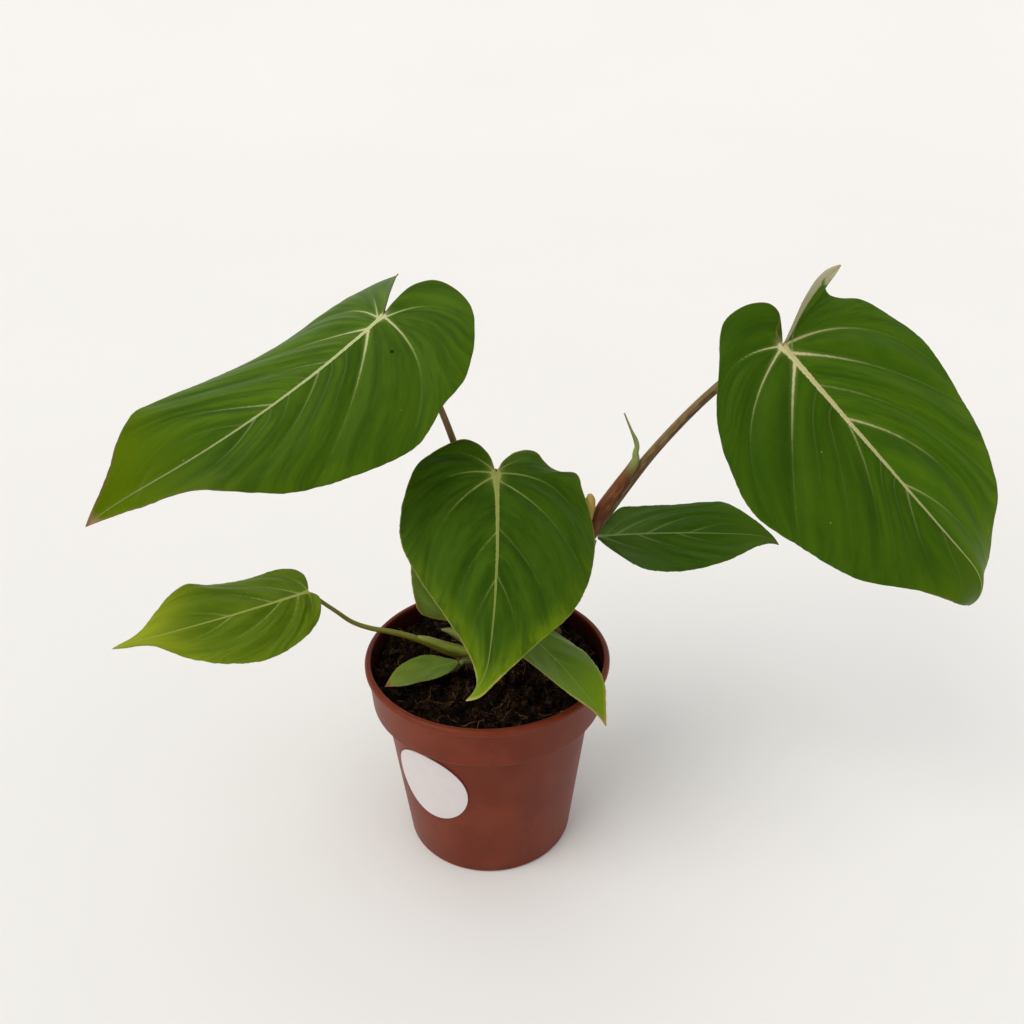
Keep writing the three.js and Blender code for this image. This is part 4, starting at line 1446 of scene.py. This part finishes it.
@dataclass
class Studio:
    """The plain pale floor, the soft lights and the camera at the photograph's view."""

    eye: Point = (12.5, -412.9, 402.5)
    pitch: float = 28.0
    roll: float = -0.36
    lens: float = 36.07
    sensor: float = 36.0
    half_width: float = 6000.0
    front: float = -5000.0
    bend_from: float = 1600.0
    bend_radius: float = 2500.0
    bend_steps: int = 24
    wall_height: float = 6000.0
    air: float = 0.57
    finish: BackdropFinish = BackdropFinish()

    def camera(self) -> None:
        """Put the camera at its measured place, turned down by its pitch."""
        data = bpy.data.cameras.new("photo_camera")
        data.sensor_fit = "HORIZONTAL"
        data.sensor_width = self.sensor
        data.lens = self.lens
        data.clip_start = 0.01
        data.clip_end = 60.0
        camera = bpy.data.objects.new("photo_camera", data)
        turned_down = Matrix.Rotation(math.radians(90 - self.pitch), 4, "X")
        rolled = Matrix.Rotation(math.radians(self.roll), 4, "Z")
        camera.matrix_world = Matrix.Translation(Vector(self.eye) * MM) @ turned_down @ rolled
        bpy.context.scene.collection.objects.link(camera)
        bpy.context.scene.camera = camera

    def floor(self) -> None:
        """Lay the floor: level to well behind the pot, then rising in a quarter round to a wall."""
        bend = np.linspace(0, math.pi / 2, self.bend_steps)[1:]
        round_along = self.bend_from + self.bend_radius * np.sin(bend)
        round_level = self.bend_radius * (1 - np.cos(bend))
        back = self.bend_from + self.bend_radius
        along = np.concatenate([[self.front, -1000.0, 0.0, self.bend_from], round_along, [back]])
        level = np.concatenate([np.zeros(4), round_level, [self.wall_height]])
        across = np.linspace(-self.half_width, self.half_width, 25)
        grid = np.stack(np.broadcast_arrays(across, along[:, None], level[:, None]), axis=-1)
        shell = Shell()
        shell.add_grid(grid, flip=True)
        shell.make("studio_floor", self.finish.material())

    def lamp(self, name: str, towards: Point, spread: float, power: float, colour: str) -> None:
        """Hang a far soft lamp, which lights the whole floor evenly.

        Args:
            name: its name.
            towards: the direction from the plant to the lamp.
            spread: the angle that the lamp fills, in degrees.
            power: its light in watts a square metre.
            colour: its colour in hex.
        """
        data = bpy.data.lights.new(name, "SUN")
        data.angle = math.radians(spread)
        data.energy = power
        data.color = linear(colour)[:3]
        lamp = bpy.data.objects.new(name, data)
        lamp.matrix_world = Vector(towards).to_track_quat("Z", "Y").to_matrix().to_4x4()
        bpy.context.scene.collection.objects.link(lamp)

    def make(self) -> None:
        """Build the camera, the floor, the lamps and the even light of the room."""
        self.camera()
        self.floor()
        self.lamp("window_soft", (-0.62, -0.42, 0.66), 50.0, 1.5, "fffaf4")
        self.lamp("sky_above", (0.1, 0.1, 1.0), 80.0, 0.35, "f6f8ff")
        world = bpy.data.worlds.new("studio_air")
        world.use_nodes = True
        air = world.node_tree.nodes["Background"]
        air.inputs["Color"].default_value = linear("fbfbfa")
        air.inputs["Strength"].default_value = self.air
        bpy.context.scene.world = world
        bpy.context.scene.view_settings.view_transform = "Standard"
        LOG.info("studio: camera, floor and two lamps")


@dataclass
class Plant:
    """The whole plant: its blades, petioles, sheaths, new leaf and rhizome."""

    blades: list[Blade] = field(default_factory=list)

    def large_blades(self) -> list[Blade]:
        """Describe the three large leaves: skin, joint, bend, outline on each side and veins.

        Returns:
            The blades, not yet built.
        """
        right, left = Side.RIGHT, Side.LEFT
        return [
            Blade(
                "back_left", "leaf",
                LeafFinish(
                    "leaf_skin_back_left", 152, "2e4e00", "56760e", "6f8600", rib="c6cb92", margin="8a5f48",
                    dry="b0906a", dry_from=0.955, rib_width=0.7, star=2.2, crest=0.28, shade=(0.0, 0.3),
                    speck=(-17.3, 11.7),
                ),
                (-43.6, 25, 267.3),
                Bend(
                    227.3, -27.4, turn=10.7, hook=-20.9, droop=-12.3, tip_droop=5, roll=-12, twist=-34,
                    fold=5, curl=25,
                ),
                right=[
                    (6.5, -12, 2), (15, -23.5, 1), (26, -29, -4), (38, -22, -5), (45.5, -8.5, -5.5),
                    (51, 9, -7.5), (48, 41, -9), (40, 72, -4), (31, 101, 5), (25, 113, 10.5),
                    (17, 124.5, 10), (9, 134, 7),
                ],
                left=[
                    (-1, -10, 1), (-0.5, -19.5, 1), (5, -27, 1), (13.5, -29.5, 0), (31, -24.5, 0.5),
                    (48.5, -0.5, 2), (50, 15, 2), (54, 33, 2), (47, 55.5, 3.5), (36, 81, 7), (21, 102, 13),
                    (14, 112, 13), (7, 134, 8),
                ],
                veins={
                    right: [
                        Vein(3, 5.25, -0.1, 0.8), Vein(2, 9.25, -0.34, 0.9),
                        Vein(9, 12.75, -0.14, 0.9, 0.7), Vein(32, 16.2, -0.24, 0.25),
                        Vein(63, 19.5, -0.38, 0.4),
                    ],
                    left: [
                        Vein(4, 5.25, -0.46, 0.9), Vein(0, 10.25, -0.34, 0.9, 0.6),
                        Vein(9, 13.25, -0.06, 0.95, 0.7), Vein(38, 16.0, -0.1, 0.22),
                        Vein(72, 18.5, -0.12, 0.2),
                    ],
                },
            ),
            Blade(
                "front", "leaf",
                LeafFinish(
                    "leaf_skin_front", 106, "264200", "42620a", "6c8404", "7f9040", "98a056", "b0a254",
                    dry="b4ac60", dry_from=0.975, tip_from=0.78, edge_share=0.6, rib_width=0.9,
                    margin_width=0.6, star=4.2, crest=0.12,
                ),
                (5.3, 5, 200.1),
                Bend(
                    176.1, -41.9, turn=16.2, hook=83.4, droop=-0.9, tip_droop=8, roll=-12, twist=-4,
                    curl=14,
                ),
                right=[
                    (2, -8, 0), (4, -12, -1), (7, -15, -1), (13, -18, -2), (19, -17, -3), (29, -12.5, -5),
                    (36, -6.5, -4), (43.5, 14.5, -6), (43, 32.5, -4), (33, 52, -2.5), (21, 68, -1),
                    (9.5, 83, -1), (2.5, 97, -2),
                ],
                left=[
                    (3.5, -6, -1), (7, -9.5, -2), (11, -12.5, -3.5), (18, -14.5, -3.5), (23, -13.5, -3),
                    (26.5, -9.5, -3), (29, -6.5, -2), (33, -4.5, -0.5), (41, -4, 1), (43, 4.5, 2),
                    (46, 14.5, 2), (45, 33, 5), (34, 59.5, 7), (18.5, 77, 3), (7, 91, 4), (4, 100, 1),
                ],
                vein_end=0.28,
                veins={
                    right: [
                        Vein(0, 5.25, -0.38, 0.75, 0.45), Vein(0, 9, -0.38, 0.8, 0.5),
                        Vein(1, 13.5, -0.34, 0.85), Vein(28, 16.2, -0.2, 0.4, 0.4),
                        Vein(50, 18.2, -0.15, 0.35, 0.4),
                    ],
                    left: [
                        Vein(0, 3.75, -0.22, 0.7, 0.45), Vein(0, 9.75, -0.46, 0.8, 0.5),
                        Vein(3, 11.75, -0.26, 0.85), Vein(26, 15.2, -0.2, 0.4, 0.4),
                        Vein(48, 17.8, -0.15, 0.35, 0.4),
                    ],
                },
            ),
            Blade(
                "right", "leaf",
                LeafFinish(
                    "leaf_skin_right", 146, "2e4e00", "4c6e08", "5e7a0a", rib="c4bd88", margin="84604a",
                    tip_from=0.7, rib_width=1.2, star=2.6, spurs=0.4, crest=0.25, shade=(0.45, 0.0),
                ),
                (128.8, 8, 258.2),
                Bend(120.3, -41.4, turn=-2.5, hook=-2.1, droop=1, tip_droop=98.3, roll=40, curl=20),
                right=[
                    (-1, -6, 2), (-6, -11, 5), (-6, -17, 5), (-3, -21.5, 2), (4, -24.5, 0),
                    (12.5, -24, -1.5), (25.5, -12, 0), (42.5, 6.5, 0), (52.5, 29, 0), (56, 47, 0.5),
                    (50.5, 70, -0.5), (41.5, 95.5, 1), (24, 118, 2), (13.5, 140, 4),
                ],
                left=[
                    (6, -4, 6), (16, -9, 8), (28, -12.5, 10), (34, -12.5, 11), (40, -10, 12),
                    (35, -10, 9.5), (32, -9, 6.5), (33, -4, 3), (38, 1, 1.5), (44.5, 6.5, 3),
                    (52.5, 21.5, 3), (56, 41, 5), (50.5, 72, 4), (46, 86.5, 4), (34.5, 111, 0),
                    (21.5, 124.5, -7), (5, 140, -6),
                ],
                strip=Strip(0.2, 4.95),
                veins={
                    right: [
                        Vein(0, 6.75, -0.46, 0.8, 0.5), Vein(0, 11.5, -0.34, 0.9, 0.6),
                        Vein(8, 12.25, -0.06, 1, 0.8), Vein(41, 15.5, 0.14, 0.35),
                        Vein(80, 18.2, -0.05, 0.2),
                    ],
                    left: [
                        Vein(6, 5.0, -0.26, 0.6, 0.5), Vein(0, 11.25, -0.38, 0.9, 0.7),
                        Vein(4, 12.5, -0.14, 1, 0.8), Vein(22, 15.6, -0.2, 0.25),
                        Vein(41, 19.5, -0.34, 0.75, 0.6), Vein(78, 20.4, -0.25, 0.3),
                    ],
                },
            ),
        ]

    def small_blades(self) -> list[Blade]:
        """Describe the five smaller leaves in the same way.

        Returns:
            The blades, not yet built.
        """
        right, left = Side.RIGHT, Side.LEFT
        plain = [Vein(2, 7, -0.28, 0.5, 0.4), Vein(14, 11, -0.22, 0.45, 0.4), Vein(30, 13, -0.2, 0.35, 0.35)]
        faint = [Vein(2, 7, -0.28, 0.15, 0.3), Vein(8, 11, -0.2, 0.12, 0.3), Vein(17, 13, -0.2, 0.1, 0.3)]
        return [
            Blade(
                "right_low", "leaf",
                LeafFinish(
                    "leaf_skin_right_low", 93, "264400", "3e5e0e", "445f10", "5e7838", "7e9250", "4c5224",
                    painted_sheen_at_base=0.4, rib_width=0.35, star=1.5,
                ),
                (55.7, 40, 147.2),
                Bend(90.9, 5.2, turn=0.3, hook=6.5, droop=10.4, tip_droop=39.6, roll=28, twist=8),
                right=[
                    (3.5, 3.5, 1), (5, 7, 2), (8, 8.5, 3), (15, 13.5, 4), (20.5, 22.5, 5),
                    (21.5, 41.5, 4.5), (16, 62.5, 4), (7, 79.5, 3),
                ],
                left=[
                    (5, 3, 1), (11, 8, 1.5), (17, 13, 1), (20, 22, -2), (20.5, 42.5, -2.5), (19.5, 64, 0.5),
                    (15, 70.5, 2), (4, 85.5, 0.5),
                ],
                veins={
                    right: [
                        Vein(2, 14.75, -0.06, 0.6, 0.7), Vein(20, 17.0, -0.1, 0.5, 0.6),
                        Vein(40, 19.0, -0.1, 0.4, 0.5),
                    ],
                    left: [
                        Vein(4, 14.5, -0.3, 0.4, 0.6), Vein(9, 18.5, -0.3, 0.65, 0.7),
                        Vein(25, 20.4, -0.32, 0.55, 0.6), Vein(46, 20.8, -0.25, 0.4, 0.5),
                    ],
                },
            ),
            Blade(
                "left_low", "young_leaf",
                LeafFinish(
                    "leaf_skin_left_low", 92, "486204", "687e1a", "98a41e", "98a45a", "a2a85a", "7a7a30",
                    tip_from=0.5, edge_share=0.4, rib_width=0.6, star=1.6,
                ),
                (-84.4, 0, 140.7),
                Bend(
                    241.7, -3.8, turn=20.9, hook=-4.7, droop=7, tip_droop=5, roll=-20, twist=-30, fold=0,
                    curl=35,
                ),
                right=[
                    (7, -2, -1), (13, -2, -0.5), (18, 1.5, 0), (21.5, 8, -0.5), (23.5, 27, -4),
                    (22.5, 44, -2), (21, 54, 3), (17, 62, 3), (12, 69, 1), (3.5, 80, -1),
                ],
                left=[
                    (6, -3, 2), (12, -1.5, -1), (17, 2.5, -1.5), (21.5, 9.5, -0.5), (25, 25.5, -2),
                    (21.5, 43, -1), (14, 59, -1), (4, 73.5, 1.5), (1.5, 86, 0.5),
                ],
                veins={
                    right: [
                        Vein(0, 9.0, -0.3, 0.5, 0.4), Vein(4, 16.5, -0.34, 0.75, 0.45),
                        Vein(17, 17.5, -0.3, 0.7, 0.4), Vein(38, 19.4, -0.25, 0.45, 0.35),
                    ],
                    left: [
                        Vein(0, 8.0, -0.3, 0.5, 0.4), Vein(5, 13.25, -0.34, 0.75, 0.45),
                        Vein(13, 18.25, -0.3, 0.7, 0.4), Vein(36, 19.8, -0.22, 0.45, 0.35),
                    ],
                },
            ),
            Blade(
                "rim", "young_leaf",
                LeafFinish(
                    "leaf_skin_rim", 70, "567418", "60801e", "68820a", "869a4e", "8a9c54", "a89a4c",
                    dry="a06c30", dry_from=0.935, tip_from=0.4, rib_width=0.25, margin_width=0.6, star=1.2,
                    crest=0.1, roughness=0.42, shine=0.22,
                ),
                (13.1, -5, 125),
                Bend(141.5, -1, turn=2.8, droop=26.4, tip_droop=15, roll=-8, fold=-4, curl=-25),
                right=[(8, 1, -1), (13, 10, -2), (16, 20, -1), (16, 34, 1), (10, 50, 1), (3, 63, 1)],
                left=[(8, 1, -1), (14, 12, -4), (17, 25, -6), (17, 34, -4), (12, 52, 0), (4, 64, 0)],
                quilt=0.5,
                rib_height=0.06,
                veins={right: plain, left: plain},
            ),
            Blade(
                "small", "pale_leaf",
                LeafFinish(
                    "leaf_skin_small", 36, "566c20", "6c8230", "7a8438", "70863a", "74883c", "80803c",
                    dry="8a5c38", dry_from=0.9, rib_width=0.1, star=0.6, crest=0.1,
                ),
                (-14.1, -15, 110.2),
                Bend(257.7, -10.1, droop=7.3, tip_droop=5, roll=-5, curl=12),
                right=[(2, 0, -1), (7, 5, -1), (10, 13, 2), (9, 20, 3), (6, 28, 3)],
                left=[(3, 0, 2), (8, 5, 4), (9, 12, 4), (8, 20, 4), (6, 28, 3)],
                quilt=0.4,
                rib_height=0.05,
                veins={right: faint, left: faint},
            ),
            Blade(
                "pale", "pale_leaf",
                LeafFinish(
                    "leaf_skin_pale", 64, "6e8830", "8aa248", "8a9c48", "90a258", "8f9c5c", "c08a4c",
                    rib_width=0.4, margin_width=0.8, star=1.2,
                ),
                (-17, 14, 114),
                Bend(330, 76, droop=10, fold=-6, curl=-20),
                right=[(6, 3, 0), (13, 8, 0), (18, 17, 0), (19, 30, 0), (15, 45, 0), (7, 57, 0)],
                left=[(6, 3, 0), (13, 7, 0), (19, 11, 0), (21, 20, 0), (19, 36, 0), (9, 56, 0)],
                veins={right: plain, left: plain},
            ),
        ]

    def make_petioles(self) -> None:
        """Build the petiole of each blade from the rhizome up to its joint: points and radii in mm."""
        # Each stem skin's last two colours are painted light on its upper side and painted shade below
        brown = StemFinish("petiole_skin_brown", "5e4224", "84704a", "4a2c14", "7c7040", "84744a", "3a220e")
        back = StemFinish("petiole_skin_back", "6a4c30", "80663c", "4a2c14", "6c5c34", "7c6644", "4a3018")
        green = StemFinish("petiole_skin_green", "64580c", "7c6c14", "5a4810", "7c8436", "868e40", "3e3c12")
        pale = StemFinish("petiole_skin_pale", "66742c", "7c8a40", "565a24", "84924c", "8a985a", "444c18")
        lines = {
            "back_left": (back, [
                [12, 17, 98, 3.4], [5, 21, 130, 2.6], [-7, 24, 180, 1.8], [-19.9, 26, 222.9, 1.5],
                [-33.5, 27, 253, 1.5],
            ]),
            "front": (brown, [[7, 9, 98, 3], [9, 15, 130, 2.4], [9, 16, 170, 1.9], [6, 11, 192, 1.8]]),
            "right": (brown, [
                [26, 21, 98, 4.2], [38.5, 22.5, 135, 3.8], [50.6, 22.5, 158.7, 3.3],
                [65.9, 23.5, 183, 2.75], [80, 22.5, 204.4, 2.3], [98.7, 19, 229.2, 2.1], [116, 15, 248, 2],
            ]),
            "right_low": (brown, [
                [32, 23, 99, 2.6], [41, 33, 118, 2], [49, 38, 134, 1.7], [53, 40, 142, 1.6],
            ]),
            "left_low": (green, [
                [-6, 3, 99, 2.4], [-21, 3, 104, 2], [-33.8, 3, 110.7, 1.6], [-45.4, 3, 114.9, 1.4],
                [-57.7, 2.5, 118.2, 1.2], [-65.4, 2, 122, 1.1], [-72.8, 1.3, 128.9, 1], [-79, 1, 134.5, 1],
            ]),
            "rim": (green, [[5, 1, 99, 2.2], [8, -2, 112, 1.7], [11, -4, 119, 1.5]]),
            "small": (pale, [[-6, -3, 99, 1.6], [-9, -8, 105, 1.3], [-12, -13, 108.5, 1.1]]),
            "pale": (pale, [[-7, 5, 99, 1.9], [-12, 10, 106, 1.4], [-16, 13, 111, 1.2]]),
        }
        for blade in self.blades:
            finish, line = lines[blade.name]
            slot = "brown_stem" if blade.slot == "leaf" else "green_stem"
            name = "petiole_" + blade.name
            Stem(name + "_stalk", name, slot, finish, [*line, blade.stalk_end(line[-1][3])]).make()

    def make_sheaths(self) -> None:
        """Build the dried and green sheaths, the rolled new leaf and the rhizome."""
        # Each stem skin's last two colours are painted light on its upper side and painted shade below
        red = StemFinish(
            "sheath_skin_red", "562a0e", "744822", "3c2008", "8a9a54", "84502e", "341a08", roughness=0.55,
            top_range=(0.74, 0.84),
        )
        green = StemFinish("sheath_skin_green", "6e781e", "8a9436", "5a3c18", "949a4c", "98a04c", "42440e")
        scale = StemFinish(
            "scale_skin_pale", "6c7c38", "8a9452", "5c6430", "8a7444", "8a965a", "4c5820", roughness=0.55,
        )
        rolled = StemFinish(
            "new_leaf_skin_rolled", "9c8038", "b4984c", "806424", "ac9044", "b49c54", "7c6428",
        )
        bark = StemFinish(
            "rhizome_skin_scarred", "4c4024", "665838", "3a2c18", "5a4c2c", "6c5e3c", "2c2010",
            roughness=0.8,
        )
        Stem("sheath_right", "cataphyll_right", "sheath", red, [
            [19, 17, 99, 3.4], [33, 18, 131, 3.7], [47, 18.8, 155.5, 3.7], [56.3, 19.2, 174.9, 3.6],
            [63.4, 20, 186.4, 3.1], [69.1, 20.8, 195.8, 2.4], [70.3, 21, 199.6, 1.8],
            [70.1, 21, 202.5, 1.4], [70.6, 21, 205.8, 1.15], [69.8, 21, 209.1, 1.1], [67.6, 20.6, 214, 0.6],
            [63.9, 20, 222.8, 0.33],
        ]).make()
        Stem("sheath_left_low", "cataphyll_left_low", "green_stem", green, [
            [-5, 3, 101.5, 2.8], [-20, 2.5, 106.6, 2.5], [-29, 2.5, 110.6, 1.9], [-34, 2.5, 112.7, 0.8],
        ]).make()
        Stem("scale_at_crown", "cataphyll_scale", "pale_leaf", scale, [
            [-6, 6, 101, 1.8], [-12, 5, 110, 2.6], [-17, 4.5, 114.2, 2.1], [-22.5, 4, 116, 0.5],
        ]).make()
        Stem("new_leaf_rolled", "spear", "spear", rolled, [
            [25, 12, 100, 2.6], [38, 12, 140, 2.8], [47.2, 13.5, 171, 2.9], [48.8, 14.2, 178.5, 2.9],
            [49.2, 14.4, 182, 2.3], [49, 14.5, 184.2, 1.2],
        ]).make()
        Stem("creeping_rhizome", "rhizome", "rhizome", bark, [
            [-19, -4, 95, 3.5], [-15, -2, 96, 5.5], [0, 4, 97, 6.5], [15, 13, 98, 7], [29, 21, 99, 6.5],
            [36, 25, 101, 4],
        ], scar_every=5.0, scar_depth=0.1).make()

    def make(self) -> None:
        """Build the blades, the petioles and the sheaths."""
        self.blades = [*self.large_blades(), *self.small_blades()]
        for blade in self.blades:
            blade.make()
        self.make_petioles()
        self.make_sheaths()


def main() -> None:
    """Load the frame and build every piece."""
    logging.basicConfig(level=logging.INFO, format="%(name)s: %(message)s")
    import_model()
    Studio().make()
    pot = Pot()
    pot.make()
    Label(pot).make()
    PottingMix(pot).make()
    Plant().make()
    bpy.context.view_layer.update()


if __name__ == "__main__":
    main()
